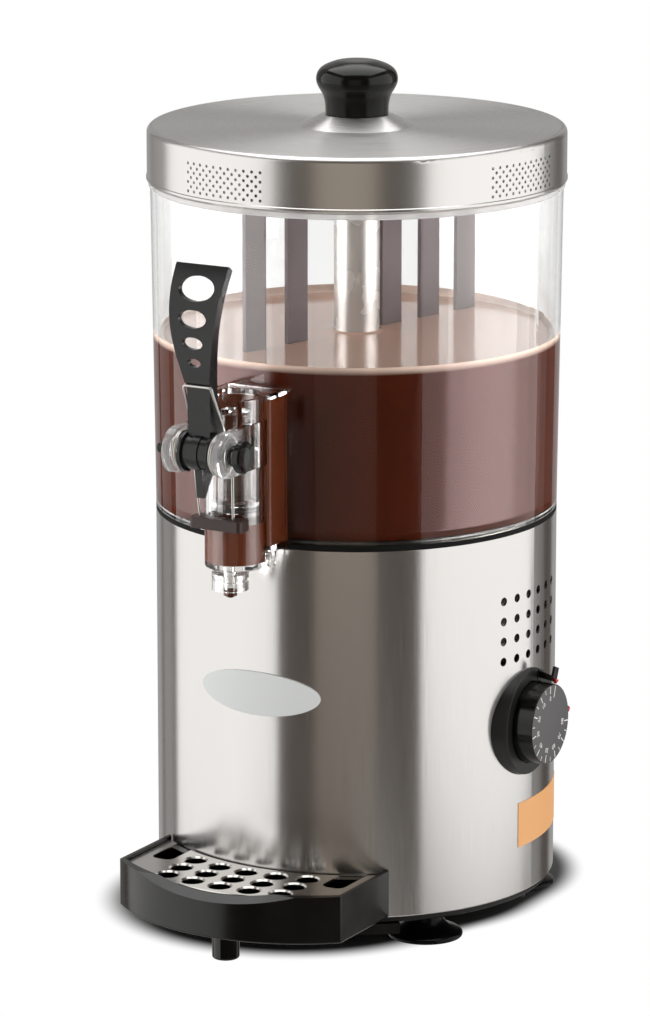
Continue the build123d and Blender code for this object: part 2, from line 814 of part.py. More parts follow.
with BuildPart() as motor_pinion:
    with BuildSketch(Plane.XY.offset(87)):
        with Locations((0, GEAR_DISTANCE)):
            Polygon(
                *gear_points(PINION_TEETH, GEAR_MODULE, 0.30, radians(-90)),
                align=None,
            )
            Circle(2.5, mode=Mode.SUBTRACT)
    extrude(amount=10)
motor_pinion.part.label = "motor_pinion"
export_step(motor_pinion.part, "parts/motor_pinion.step")

with BuildPart() as output_gear:
    with BuildSketch(Plane.XY.offset(88)):
        Polygon(
            *gear_points(
                GEAR_TEETH, GEAR_MODULE, 0.30, radians(90) + pi / GEAR_TEETH
            ),
            align=None,
        )
    extrude(amount=8)
    with BuildSketch(Plane.XY.offset(96)):
        Circle(10)
    extrude(amount=5)
    with BuildSketch(Plane.XY.offset(88)):
        with PolarLocations(18.5, 6):
            Circle(5.5)
        Circle(SHAFT_R)
    extrude(amount=14, mode=Mode.SUBTRACT)
output_gear.part.label = "output_gear"
export_step(output_gear.part, "parts/output_gear.step")

with BuildPart() as drive_shaft:
    with BuildSketch(Plane.XY.offset(81)):
        Circle(SHAFT_R)
    extrude(amount=404 - 81)
    with BuildSketch(Plane.XY.offset(404)):
        Rectangle(5.4, 5.4)
    extrude(amount=10)
    chamfer(drive_shaft.faces().sort_by(Axis.Z)[-1].edges(), 0.8)
drive_shaft.part.label = "drive_shaft"
export_step(drive_shaft.part, "parts/drive_shaft.step")

# ======================================================= base: electrics
with BuildPart() as terminal_block:
    with BuildSketch(Plane.XY.offset(CASE_Z0)):
        with Locations((-68, 4)):
            RectangleRounded(20, 44, 2)
    extrude(amount=15)
    with BuildSketch(Plane.XY.offset(CASE_Z0 + 15)):
        with Locations((-68, 4)):
            with GridLocations(0, 10, 1, 4):
                Circle(2.6)
    extrude(amount=-6, mode=Mode.SUBTRACT)
    with BuildSketch(Plane.YZ.offset(-58)):
        with Locations((4, CASE_Z0 + 6)):
            with GridLocations(10, 0, 4, 1):
                Circle(2.2)
    extrude(amount=-6, mode=Mode.SUBTRACT)
terminal_block.part.label = "terminal_block"
export_step(terminal_block.part, "parts/terminal_block.step")

with BuildPart() as cable_gland:
    with BuildSketch(Plane.XZ.offset(-110.4)):
        with Locations((0, 42)):
            RegularPolygon(12.5, 6)
    extrude(amount=-6)
    with BuildSketch(Plane.XZ.offset(-116.4)):
        with Locations((0, 42)):
            Circle(10.2)
    extrude(amount=-9)
    fillet(cable_gland.faces().sort_by(Axis.Y)[-1].edges(), 3.0)
    with BuildSketch(Plane.XZ.offset(-110.4)):
        with Locations((0, 42)):
            Circle(8.0)
    extrude(amount=12)
    with BuildSketch(Plane.XZ.offset(-126)):
        with Locations((0, 42)):
            Circle(4.5)
    extrude(amount=30, mode=Mode.SUBTRACT)
cable_gland.part.label = "cable_gland"
export_step(cable_gland.part, "parts/cable_gland.step")

with BuildPart() as gland_nut:
    with BuildSketch(Plane.XZ.offset(-108.2)):
        with Locations((0, 42)):
            RegularPolygon(12.0, 6)
            Circle(8.0, mode=Mode.SUBTRACT)
    extrude(amount=5)
gland_nut.part.label = "gland_nut"
export_step(gland_nut.part, "parts/gland_nut.step")

wire_routes = [
    # terminal block to the motor
    [(-63.0, 9, 23.0), (-48, 9, 23.0), (-40, 24, 30.0), (-35, 36, 52.0), (-28.0, 36, 52.0)],
    # terminal block to the thermostat
    [(-63.0, -11, 23.0), (-50, -11, 23.0), (-20, -52, 26.0), (40, -52, 60.0), (58, -20, 100.0), (66.0, -16, DIAL_Z)],
    # thermostat to the heating element
    [(66.0, 4, DIAL_Z), (58, 10, 112.5), (40, 50, 112.5), (20, 69, 112.5), (12.0, 69, 112.5)],
    # safety cut-out to the heating element
    [(-45.0, -30, 112.4), (-52, 0, 112.5), (-40, 50, 112.5), (-20, 69, 112.5), (-12.0, 69, 112.5)],
]
with BuildPart() as wiring:
    for route in wire_routes:
        with BuildLine() as wire:
            FilletPolyline(*route, radius=5)
        with BuildSketch(Plane(origin=wire.line @ 0, z_dir=wire.line % 0)):
            Circle(1.4)
        sweep(path=wire.line)
wiring.part.label = "wiring"
export_step(wiring.part, "parts/wiring.step")

# ================================================================ the dial
with BuildPart() as control_knob:
    with BuildSketch(Plane.XZ.offset(-DIAL_Y)):
        with BuildLine():
            Polyline(
                (113.0, DIAL_Z + 22.3),
                (KNOB_FACE - 0.3, DIAL_Z + 21.9),
                (KNOB_FACE, DIAL_Z + 21.6),
                (KNOB_FACE, DIAL_Z),
                (119.0, DIAL_Z),
                (119.0, DIAL_Z + 3.0),
                (113.2, DIAL_Z + 3.0),
                (113.2, DIAL_Z + 6.5),
                (121.0, DIAL_Z + 6.5),
                (121.0, DIAL_Z + 20.0),
                (113.0, DIAL_Z + 20.4),
                close=True,
            )
        make_face()
    revolve(axis=Axis((0, DIAL_Y, DIAL_Z), (1, 0, 0)))
control_knob.part.label = "control_knob"
export_step(control_knob.part, "parts/control_knob.step")

with BuildPart() as thermostat_spindle:
    with BuildSketch(Plane.YZ.offset(89)):
        with Locations((DIAL_Y, DIAL_Z)):
            Circle(3.0)
    extrude(amount=30.0)
thermostat_spindle.part.label = "thermostat_spindle"
export_step(thermostat_spindle.part, "parts/thermostat_spindle.step")

# =============================================================== drip tray
def tray_corners(side, corner, front, back):
    """Points of an outline with a hollow back, straight sides and a bowed front."""
    y_back = -sqrt(back**2 - side**2)
    return (
        (-side, y_back),
        (0, -back),
        (side, y_back),
        (side, corner),
        (0, front),
        (-side, corner),
    )


with BuildPart() as drip_tray:
    with BuildSketch(Plane.XY.offset(TRAY_Z0)):
        p = tray_corners(TRAY_X, TRAY_CORNER, TRAY_FRONT, TRAY_BACK)
        with BuildLine():
            ThreePointArc(p[0], p[1], p[2])
            Line(p[2], p[3])
            ThreePointArc(p[3], p[4], p[5])
            Line(p[5], p[0])
        make_face()
    extrude(amount=TRAY_Z1 - TRAY_Z0)
    fillet(drip_tray.edges().filter_by(Axis.Z).sort_by(Axis.Y)[:2], 2.0)
    fillet(drip_tray.faces().sort_by(Axis.Z)[0].edges(), 1.0)
    # the bowed front slopes down outside the grate
    with BuildSketch(Plane.YZ.offset(-80)):
        with BuildLine():
            Polyline(
                (-153.5, TRAY_Z1),
                (-153.5, TRAY_Z1 + 2),
                (-176, TRAY_Z1 + 2),
                (-176, TRAY_Z1 - 22.5 * 0.5),
                close=True,
            )
        make_face()
    extrude(amount=160, mode=Mode.SUBTRACT)
    # the seat of the grate runs out over the hollow back, then the well under it
    with BuildSketch(Plane.XY.offset(GRATE_Z - 0.1)):
        p = tray_corners(TRAY_X - 2.2, TRAY_CORNER + 2.4, -159.3, TRAY_BACK - 3.0)
        with BuildLine():
            ThreePointArc(p[0], p[1], p[2])
            Line(p[2], p[3])
            ThreePointArc(p[3], p[4], p[5])
            Line(p[5], p[0])
        make_face()
    extrude(amount=10, mode=Mode.SUBTRACT)
    with BuildSketch(Plane.XY.offset(TRAY_Z0 + 2.4)):
        p = tray_corners(TRAY_X - 4.6, TRAY_CORNER + 3.6, -157.6, TRAY_BACK + 4.6)
        with BuildLine():
            ThreePointArc(p[0], p[1], p[2])
            Line(p[2], p[3])
            ThreePointArc(p[3], p[4], p[5])
            Line(p[5], p[0])
        make_face()
    extrude(amount=30, mode=Mode.SUBTRACT)
    # two tongues that reach back under the base
    for tx in (30, -30):
        with BuildSketch(Plane.YZ.offset(tx - 7.5)):
            with BuildLine():
                Polyline(
                    (-120, TRAY_Z0 + 1),
                    (-120, 9.1),
                    (-90, 9.1),
                    (-90, 11.0),
                    (-116, 11.0),
                    (-116, TRAY_Z0 + 1),
                    close=True,
                )
            make_face()
        extrude(amount=15)
drip_tray.part.label = "drip_tray"
export_step(drip_tray.part, "parts/drip_tray.step")

with BuildPart() as tray_foot:
    with BuildSketch(Plane.XY):
        with Locations((0, -143)):
            Circle(7.4)
    extrude(amount=TRAY_Z0)
    fillet(tray_foot.faces().sort_by(Axis.Z)[0].edges(), 1.2)
tray_foot.part.label = "tray_foot"
export_step(tray_foot.part, "parts/tray_foot.step")

grate_holes = [
    (x, -sqrt(r**2 - x**2))
    for r in (121.0, 135.2, 149.2)
    for x in (-35.0, -17.5, 0.0, 17.5, 35.0)
]
NOTCH_X = 53.0
NOTCH_W = 13.0
HOLE_R = 5.9
with BuildPart() as drip_grate:
    with BuildSketch(Plane.XY.offset(GRATE_Z)):
        p = tray_corners(TRAY_X - 2.7, TRAY_CORNER + 2.9, -158.8, TRAY_BACK + 0.7)
        with BuildLine():
            ThreePointArc(p[0], p[1], p[2])
            Line(p[2], p[3])
            ThreePointArc(p[3], p[4], p[5])
            Line(p[5], p[0])
        make_face()
    extrude(amount=GRATE_T)
    # the holes and the finger notches are pressed downwards into collars
    with BuildSketch(Plane.XY.offset(GRATE_Z)):
        with Locations(*grate_holes):
            Circle(HOLE_R + 0.8)
        with Locations((NOTCH_X, -105), (-NOTCH_X, -105)):
            RectangleRounded(NOTCH_W + 2.0, 38.0, 5.5)
        # clear of the walls of the tray's well
        p = tray_corners(TRAY_X - 5.0, TRAY_CORNER + 4.0, -157.2, TRAY_BACK + 5.2)
        with BuildLine():
            ThreePointArc(p[0], p[1], p[2])
            Line(p[2], p[3])
            ThreePointArc(p[3], p[4], p[5])
            Line(p[5], p[0])
        make_face(mode=Mode.INTERSECT)
    extrude(amount=-0.65)
    with BuildSketch(Plane.XY.offset(GRATE_Z - 4)):
        with Locations(*grate_holes):
            Circle(HOLE_R)
        with Locations((NOTCH_X, -100), (-NOTCH_X, -100)):
            RectangleRounded(NOTCH_W, 46, 4.5)
    extrude(amount=8, mode=Mode.SUBTRACT)
    # dished mouths
    with Locations(*[(x, y, GRATE_Z + GRATE_T - 0.4) for x, y in grate_holes]):
        Cone(HOLE_R, HOLE_R + 0.9, 0.8, mode=Mode.SUBTRACT)
drip_grate.part.label = "drip_grate"
export_step(drip_grate.part, "parts/drip_grate.step")

# ==================================================================== bowl
def bowl_r(z):
    """Outside radius of the bowl at a height."""
    return BOWL_R0 + (BOWL_R1 - BOWL_R0) * (z - 226.0) / (BOWL_Z1 - 226.0)


with BuildPart() as bowl:
    with BuildSketch(Plane.XZ):
        with BuildLine():
            Polyline(
                (98, BOWL_Z0),
                (BOWL_R0, BOWL_Z0),
                (BOWL_R0, 226.0),
                (bowl_r(398.6), 398.6),
                (bowl_r(399.4) + 0.9, 399.4),
                (bowl_r(402.0) + 0.9, 401.6),
                (bowl_r(402.6), 402.4),
                (BOWL_R1, BOWL_Z1),
                (BOWL_R1 - BOWL_T, BOWL_Z1),
                (bowl_r(226.4) - BOWL_T, 226.4),
                (bowl_r(226.4) - BOWL_T - 1.2, 225.2),
                (98, 225.2),
                close=True,
            )
        make_face()
    revolve(axis=Axis.Z)
    rim = bowl.edges().filter_by(GeomType.CIRCLE).group_by(Axis.Z)[-1]
    fillet(rim, 1.1)
    with Locations((0, -108, 267)):
        Box(31.2, 30, 72, mode=Mode.SUBTRACT)
bowl.part.label = "bowl"
export_step(bowl.part, "parts/bowl.step")

with BuildPart() as vessel_dish:
    with BuildSketch(Plane.XZ):
        with BuildLine():
            Polyline(
                (11.0, DISH_Z0),
                (DISH_R, DISH_Z0),
                (DISH_R, 226.2),
                (104.0, 226.2),
                (104.0, 227.2),
                (DISH_R - 1.0, 227.2),
                (DISH_R - 1.0, DISH_Z0 + 1.0),
                (11.0, DISH_Z0 + 1.0),
                close=True,
            )
        make_face()
    revolve(axis=Axis.Z)
    low = (
        vessel_dish.edges()
        .filter_by(GeomType.CIRCLE)
        .filter_by(
            lambda e: abs(e.radius - DISH_R) < 0.01 and abs(e.center().Z - DISH_Z0) < 0.01
        )
    )
    fillet(low, 9.0)
    inner_low = (
        vessel_dish.edges()
        .filter_by(GeomType.CIRCLE)
        .filter_by(
            lambda e: abs(e.radius - DISH_R + 1) < 0.01
            and abs(e.center().Z - DISH_Z0 - 1) < 0.01
        )
    )
    fillet(inner_low, 8.0)
vessel_dish.part.label = "vessel_dish"
export_step(vessel_dish.part, "parts/vessel_dish.step")

with BuildPart() as vessel_seal:
    with BuildSketch(Plane.XY.offset(225.2)):
        Circle(103.5)
        Circle(98.5, mode=Mode.SUBTRACT)
    extrude(amount=1.0)
vessel_seal.part.label = "vessel_seal"
export_step(vessel_seal.part, "parts/vessel_seal.step")

with BuildPart() as centre_tube:
    with BuildSketch(Plane.XY.offset(DISH_Z0 + 1.0)):
        Circle(TUBE_R)
        Circle(TUBE_R - 1.5, mode=Mode.SUBTRACT)
    extrude(amount=TUBE_Z1 - DISH_Z0 - 1.0)
centre_tube.part.label = "centre_tube"
export_step(centre_tube.part, "parts/centre_tube.step")

# clear tap moulding: feed box, cylinder, spout and two ears for the lever
with BuildPart() as tap_body:
    with BuildSketch(Plane.XY.offset(BOX_Z0)):
        with Locations((0, (BOX_Y - 100) / 2)):
            Rectangle(2 * BOX_X, -100 - BOX_Y)
    extrude(amount=BOX_Z1 - BOX_Z0)
    fillet(tap_body.edges().filter_by(Axis.Z).sort_by(Axis.Y)[:2], 2.5)
    fillet(tap_body.faces().sort_by(Axis.Z)[-1].edges().sort_by(Axis.Y)[0:1], 1.5)
    # the feed space, open to the bowl
    with BuildSketch(Plane.XY.offset(BOX_Z0 + 3)):
        with Locations((0, (BOX_Y + 3 - 100) / 2)):
            Rectangle(2 * BOX_X - 6, -100 - BOX_Y - 3)
    extrude(amount=BOX_Z1 - BOX_Z0 - 6, mode=Mode.SUBTRACT)
    # ears
    for side in (1, -1):
        with BuildSketch(Plane.YZ.offset(12.8 * side)):
            with Locations(((PIVOT_Y - 120) / 2, PIVOT_Z)):
                Rectangle(-120 - PIVOT_Y, 24)
            with Locations((PIVOT_Y, PIVOT_Z)):
                Circle(12.2)
        extrude(amount=4.7 * side)
        with BuildSketch(Plane.YZ.offset(17.5 * side)):
            with Locations((PIVOT_Y, PIVOT_Z)):
                Circle(9.6)
                Circle(7.6, mode=Mode.SUBTRACT)
        extrude(amount=0.7 * side)
    # cylinder
    with BuildSketch(Plane.XY.offset(TAP_Z0)):
        with Locations((0, TAP_Y)):
            Circle(TAP_R)
    extrude(amount=TAP_Z1 - TAP_Z0)
    fillet(
        tap_body.edges()
        .filter_by(GeomType.CIRCLE)
        .filter_by(lambda e: abs(e.center().Z - TAP_Z0) < 0.01 and abs(e.radius - TAP_R) < 0.01),
        1.4,
    )
    # spout: collar with a groove, and a narrow inner spout
    with BuildSketch(Plane.XY.offset(202.5)):
        with Locations((0, NOZZLE_Y)):
            Circle(9.9)
    extrude(amount=TAP_Z0 - 202.5)
    with BuildPart(mode=Mode.PRIVATE) as groove:
        with Locations((0, NOZZLE_Y, 208.4)):
            Cylinder(12, 1.6)
            Cylinder(9.0, 1.6, mode=Mode.SUBTRACT)
    add(groove.part, mode=Mode.SUBTRACT)
    with BuildSketch(Plane.XY.offset(202.5)):
        with Locations((0, NOZZLE_Y)):
            Circle(7.6)
            Circle(3.6, mode=Mode.SUBTRACT)
    extrude(amount=8.5, mode=Mode.SUBTRACT)
    with BuildSketch(Plane.XY.offset(199)):
        with Locations((0, NOZZLE_Y)):
            Circle(3.6)
    extrude(amount=12)
    # small lugs under the box
    for side in (1, -1):
        with BuildSketch(Plane.XY.offset(214.5)):
            with Locations((15.9 * side, -123.6)):
                Rectangle(5.0, 6.6)
                Rectangle(2.0, 8.0, mode=Mode.SUBTRACT)
        extrude(amount=BOX_Z0 - 214.5 + 0.5)
    # bore, open at the top, with its outlet and its port from the feed space
    with BuildSketch(Plane.XY.offset(TAP_Z0 + 3)):
        with Locations((0, TAP_Y)):
            Circle(TAP_BORE)
    extrude(amount=120, mode=Mode.SUBTRACT)
    with BuildSketch(Plane.XY.offset(198)):
        with Locations((0, NOZZLE_Y)):
            Circle(2.4)
    extrude(amount=22, mode=Mode.SUBTRACT)
    with Locations((0, -116.5, 232)):
        Box(15, 9, 12, mode=Mode.SUBTRACT)
    # window in the front of the cylinder for the finger of the lever
    with Locations((0, -146, 291)):
        Box(19, 16, 38, mode=Mode.SUBTRACT)
    # bore for the pin
    with BuildSketch(Plane.YZ.offset(-20)):
        with Locations((PIVOT_Y, PIVOT_Z)):
            Circle(PIN_R)
    extrude(amount=40, mode=Mode.SUBTRACT)
    # the back follows the bowl, and stays clear of the base below it
    with BuildPart(mode=Mode.PRIVATE) as envelope:
        with BuildSketch(Plane.XZ):
            with BuildLine():
                Polyline(
                    (0, 210),
                    (110.6, 210),
                    (110.6, 223.6),
                    (BOWL_R0, 223.6),
                    (BOWL_R0, 226.0),
                    (bowl_r(330), 330),
                    (0, 330),
                    close=True,
                )
            make_face()
        revolve(axis=Axis.Z)
    add(envelope.part, mode=Mode.SUBTRACT)
tap_body.part.label = "tap_body"
export_step(tap_body.part, "parts/tap_body.step")

with BuildPart() as spring_bar:
    with BuildSketch(Plane.XY.offset(237.4)):
        with Locations((0, -147.5)):
            RectangleRounded(31, 11, 2.2)
    extrude(amount=6.2)
    fillet(spring_bar.faces().sort_by(Axis.Z)[-1].edges(), 0.8)
    with Locations((0, TAP_Y, 240)):
        Cylinder(TAP_R, 20, mode=Mode.SUBTRACT)
spring_bar.part.label = "spring_bar"
export_step(spring_bar.part, "parts/spring_bar.step")

with BuildPart() as pivot_pin:
    with BuildSketch(Plane.XY.offset(PIVOT_Z)):
        with BuildLine():
            Polyline(
                (-26.0, PIVOT_Y),
                (-26.0, PIVOT_Y + PIN_R - 0.5),
                (-25.5, PIVOT_Y + PIN_R),
                (18.4, PIVOT_Y + PIN_R),
                (18.4, PIVOT_Y + 5.6),
                (19.6, PIVOT_Y + 5.8),
                (20.4, PIVOT_Y + 5.2),
                (21.6, PIVOT_Y + 5.4),
                (22.4, PIVOT_Y + 7.8),
                (23.2, PIVOT_Y + 8.6),
                (26.0, PIVOT_Y + 8.6),
                (26.9, PIVOT_Y + 7.8),
                (26.0, PIVOT_Y + 5.2),
                (25.5, PIVOT_Y),
                close=True,
            )
        make_face()
    revolve(axis=Axis((0, PIVOT_Y, PIVOT_Z), (1, 0, 0)))
pivot_pin.part.label = "pivot_pin"
export_step(pivot_pin.part, "parts/pivot_pin.step")

SPRING_WIRE = 0.75
SPRING_R = 10.45
with BuildPart() as torsion_spring:
    for side in (1, -1):
        for off in (10.35, 11.6):
            with BuildSketch(Plane.XY.offset(PIVOT_Z)):
                with Locations((off * side, PIVOT_Y + SPRING_R)):
                    Circle(SPRING_WIRE)
            revolve(axis=Axis((0, PIVOT_Y, PIVOT_Z), (1, 0, 0)))
        # leg down to the bar, and arm up to the bail
        for start, end in (
            ((10.2 * side, PIVOT_Y + SPRING_R, PIVOT_Z), (10.0 * side, -150.4, 243.7)),
            (
                (10.35 * side, PIVOT_Y + 7.2, PIVOT_Z + 7.6),
                (8.4 * side, -169.4, 317.6),
            ),
        ):
            run = Vector(*end) - Vector(*start)
            with BuildSketch(Plane(origin=start, z_dir=run)):
                Circle(SPRING_WIRE)
            extrude(amount=run.length)
        with Locations((8.4 * side, -169.4, 317.6)):
            Sphere(SPRING_WIRE)
    with BuildSketch(Plane.YZ.offset(-8.4)):
        with Locations((-169.4, 317.6)):
            Circle(SPRING_WIRE)
    extrude(amount=16.8)
torsion_spring.part.label = "torsion_spring"
export_step(torsion_spring.part, "parts/torsion_spring.step")

# ============================================================= lever, plunger
with BuildPart() as tap_lever:
    # side view of the paddle and the stem
    with BuildSketch(Plane.YZ.offset(-20)):
        with BuildLine():
            front = Spline(
                (-163.0, 381.0),
                (-169.6, 370.0),
                (-174.2, 356.0),
                (-174.6, 343.0),
                (-172.8, 331.5),
                (-170.2, 320.8),
            )
            back = Spline(
                (-159.6, 378.6),
                (-165.2, 367.2),
                (-168.4, 354.0),
                (-168.0, 342.0),
                (-165.4, 331.0),
                (-160.8, 317.0),
            )
            Line(front @ 0, back @ 0)
            Polyline(
                front @ 1,
                (-169.9, 319.2),
                (-168.3, 318.6),
                (-168.0, 288.0),
                (-155.0, 288.0),
                back @ 1,
            )
        make_face()
    extrude(amount=40)
    # front view
    with BuildPart(mode=Mode.PRIVATE) as outline:
        with BuildSketch(Plane.XZ.offset(150)):
            with BuildLine():
                right = Spline(
                    (15.9, 382.0),
                    (15.2, 369.0),
                    (13.7, 354.0),
                    (11.6, 340.0),
                    (9.2, 328.0),
                    (7.4, 319.0),
                    (6.8, 312.0),
                )
                left = Spline(
                    (-15.9, 382.0),
                    (-15.2, 369.0),
                    (-13.7, 354.0),
                    (-11.6, 340.0),
                    (-9.2, 328.0),
                    (-7.4, 319.0),
                    (-6.8, 312.0),
                )
                Line(right @ 0, left @ 0)
                Polyline(right @ 1, (6.6, 285), (-6.6, 285), left @ 1)
            make_face()
        extrude(amount=30)
    add(outline.part, mode=Mode.INTERSECT)
    with BuildSketch(Plane.XZ.offset(150)):
        with Locations((0, 369.2)):
            Ellipse(10.6, 6.3)
        with Locations((0, 354.0)):
            Ellipse(8.3, 4.7)
        with Locations((0, 341.2)):
            Ellipse(6.1, 3.3)
        with Locations((0, 330.6)):
            Ellipse(4.0, 2.3)
    extrude(amount=30, mode=Mode.SUBTRACT)
    # hollow back of the paddle, inside its rim
    with BuildPart(mode=Mode.PRIVATE) as hollow:
        with BuildSketch(Plane.YZ.offset(-20)):
            with BuildLine():
                floor = Spline(
                    (-160.2, 379.4),
                    (-166.4, 368.8),
                    (-170.9, 355.2),
                    (-171.3, 343.0),
                    (-169.5, 331.8),
                    (-166.9, 324.0),
                )
                Polyline(floor @ 1, (-150, 324.0), (-150, 379.4), floor @ 0)
            make_face()
        extrude(amount=40)
        with BuildPart(mode=Mode.PRIVATE) as inset:
            with BuildSketch(Plane.XZ.offset(140)):
                with BuildLine():
                    Polyline(
                        (13.2, 376.6),
                        (12.6, 368.0),
                        (11.1, 354.0),
                        (9.0, 340.0),
                        (6.6, 328.0),
                        (5.9, 324.5),
                        (-5.9, 324.5),
                        (-6.6, 328.0),
                        (-9.0, 340.0),
                        (-11.1, 354.0),
                        (-12.6, 368.0),
                        (-13.2, 376.6),
                        close=True,
                    )
                make_face()
            extrude(amount=40)
        add(inset.part, mode=Mode.INTERSECT)
    add(hollow.part, mode=Mode.SUBTRACT)
    # hub with two end flanges and a middle rib, then the beak and the finger
    with BuildSketch(Plane.YZ.offset(-9.0)):
        with Locations((PIVOT_Y, PIVOT_Z)):
            Circle(9.2)
    extrude(amount=18.0)
    for start in (-9.0, 7.4):
        with BuildSketch(Plane.YZ.offset(start)):
            with Locations((PIVOT_Y, PIVOT_Z)):
                Circle(10.9)
        extrude(amount=1.6)
    with BuildSketch(Plane.YZ.offset(-2.2)):
        with Locations((PIVOT_Y, PIVOT_Z)):
            Circle(9.9)
    extrude(amount=4.4)
    with BuildSketch(Plane.YZ.offset(-2.2)):
        with BuildLine():
            Polyline(
                (-169.8, 279.0),
                (-152.5, 275.5),
                (-165.2, 257.8),
                (-166.8, 257.8),
                close=True,
            )
        make_face()
    extrude(amount=4.4)
    with BuildSketch(Plane.YZ.offset(-3.2)):
        with Locations(((PIVOT_Y + TAP_Y) / 2, PIVOT_Z)):
            Rectangle(TAP_Y - PIVOT_Y, 3.6)
        with Locations((TAP_Y, PIVOT_Z)):
            Circle(2.9)
    extrude(amount=6.4)
    with BuildSketch(Plane.YZ.offset(-10)):
        with Locations((PIVOT_Y, PIVOT_Z)):
            Circle(PIN_R + RUN)
    extrude(amount=20, mode=Mode.SUBTRACT)
tap_lever.part.label = "tap_lever"
export_step(tap_lever.part, "parts/tap_lever.step")

with BuildPart() as plunger:
    with BuildSketch(Plane.XZ.offset(-TAP_Y)):
        with BuildLine():
            Polyline(
                (0, 219.2),
                (9.5, 219.2),
                (9.5, 222.0),
                (4.5, 224.0),
                (4.5, 242.0),
                (12.7, 242.6),
                (12.7, 244.8),
                (11.0, 244.8),
                (11.0, 247.6),
                (12.7, 247.6),
                (12.7, 250.0),
                (9.0, 251.0),
                (9.0, 297.0),
                (8.0, 298.0),
                (0, 298.0),
                close=True,
            )
        make_face()
    revolve(axis=Axis((0, TAP_Y, 0), (0, 0, 1)))
    # slot for the finger, deeper below so the finger can tip up in it
    with Locations((0, TAP_Y, PIVOT_Z - 0.45)):
        Box(8.4, 30, 10.3, mode=Mode.SUBTRACT)
plunger.part.label = "plunger"
export_step(plunger.part, "parts/plunger.step")

with BuildPart() as plunger_ring:
    with BuildSketch(Plane.XZ.offset(-TAP_Y)):
        with Locations((12.0, 246.2)):
            Circle(1.0)
    revolve(axis=Axis((0, TAP_Y, 0), (0, 0, 1)))
plunger_ring.part.label = "plunger_ring"
export_step(plunger_ring.part, "parts/plunger_ring.step")

with BuildPart() as plunger_seal:
    with BuildSketch(Plane.XY.offset(TAP_Z0 + 3.1)):
        with Locations((0, TAP_Y)):
            Circle(10.4)
    extrude(amount=2.1)
plunger_seal.part.label = "plunger_seal"
export_step(plunger_seal.part, "parts/plunger_seal.step")

# ===================================================================== lid
hole_places = []
for patch in range(4):
    centre = LID_TURN + 90.45 * patch
    for col in range(21):
        angle = centre + (col - 10) * 1.26
        heights = (-5, 0, 5) if col % 2 else (-7.5, -2.5, 2.5, 7.5)
        for h in heights:
            hole_places.append(outward(LID_R, angle, 414.5 + h).location)

with BuildPart() as lid:
    with BuildSketch(Plane.XZ):
        with BuildLine():
            e, t = LID_EDGE, LID_T
            Polyline(
                (LID_R - t, LID_Z0),
                (LID_R + 0.4, LID_Z0),
                (LID_R + 0.4, LID_Z0 + 1.2),
                (LID_R, LID_Z0 + 1.6),
                (LID_R, LID_Z1 - e),
            )
            RadiusArc((LID_R, LID_Z1 - e), (LID_R - e, LID_Z1), -e)
            Polyline(
                (LID_R - e, LID_Z1),
                (31.0, LID_Z1),
                (18.6, BOSS_Z),
                (2.6, BOSS_Z),
                (2.6, BOSS_Z - t),
                (18.3, BOSS_Z - t),
                (30.7, LID_Z1 - t),
                (LID_R - e, LID_Z1 - t),
            )
            RadiusArc((LID_R - e, LID_Z1 - t), (LID_R - t, LID_Z1 - e), e - t)
            Line((LID_R - t, LID_Z1 - e), (LID_R - t, LID_Z0))
        make_face()
    revolve(axis=Axis.Z)
    with Locations(*hole_places):
        Cylinder(0.85, 4, mode=Mode.SUBTRACT)
lid.part.label = "lid"
export_step(lid.part, "parts/lid.step")

with BuildPart() as lid_knob:
    with BuildSketch(Plane.XZ):
        with BuildLine():
            a = Polyline((2.5, BOSS_Z), (16.7, BOSS_Z), (17.1, BOSS_Z + 0.4))
            c = Spline(
                a @ 1,
                (17.25, BOSS_Z + 4.4),
                (17.6, BOSS_Z + 7.2),
                (19.0, BOSS_Z + 11.4),
                (21.3, BOSS_Z + 15.5),
                (22.1, BOSS_Z + 18.4),
                (20.5, BOSS_Z + 24.0),
                (13.5, BOSS_Z + 28.0),
                (0.0, BOSS_Z + 29.2),
                tangents=((0.03, 1), (-1, 0)),
            )
            Polyline(c @ 1, (0, BOSS_Z + 14.0), (2.5, BOSS_Z + 14.0), (2.5, BOSS_Z))
        make_face()
    revolve(axis=Axis.Z)
lid_knob.part.label = "lid_knob"
export_step(lid_knob.part, "parts/lid_knob.step")

with BuildPart() as knob_screw:
    with BuildSketch(Plane.XY.offset(BOSS_Z - LID_T)):
        Circle(6.0)
    extrude(amount=-3.0)
    fillet(knob_screw.faces().sort_by(Axis.Z)[0].edges(), 1.2)
    with BuildSketch(Plane.XY.offset(BOSS_Z - LID_T)):
        Circle(2.5)
    extrude(amount=14)
knob_screw.part.label = "knob_screw"
export_step(knob_screw.part, "parts/knob_screw.step")

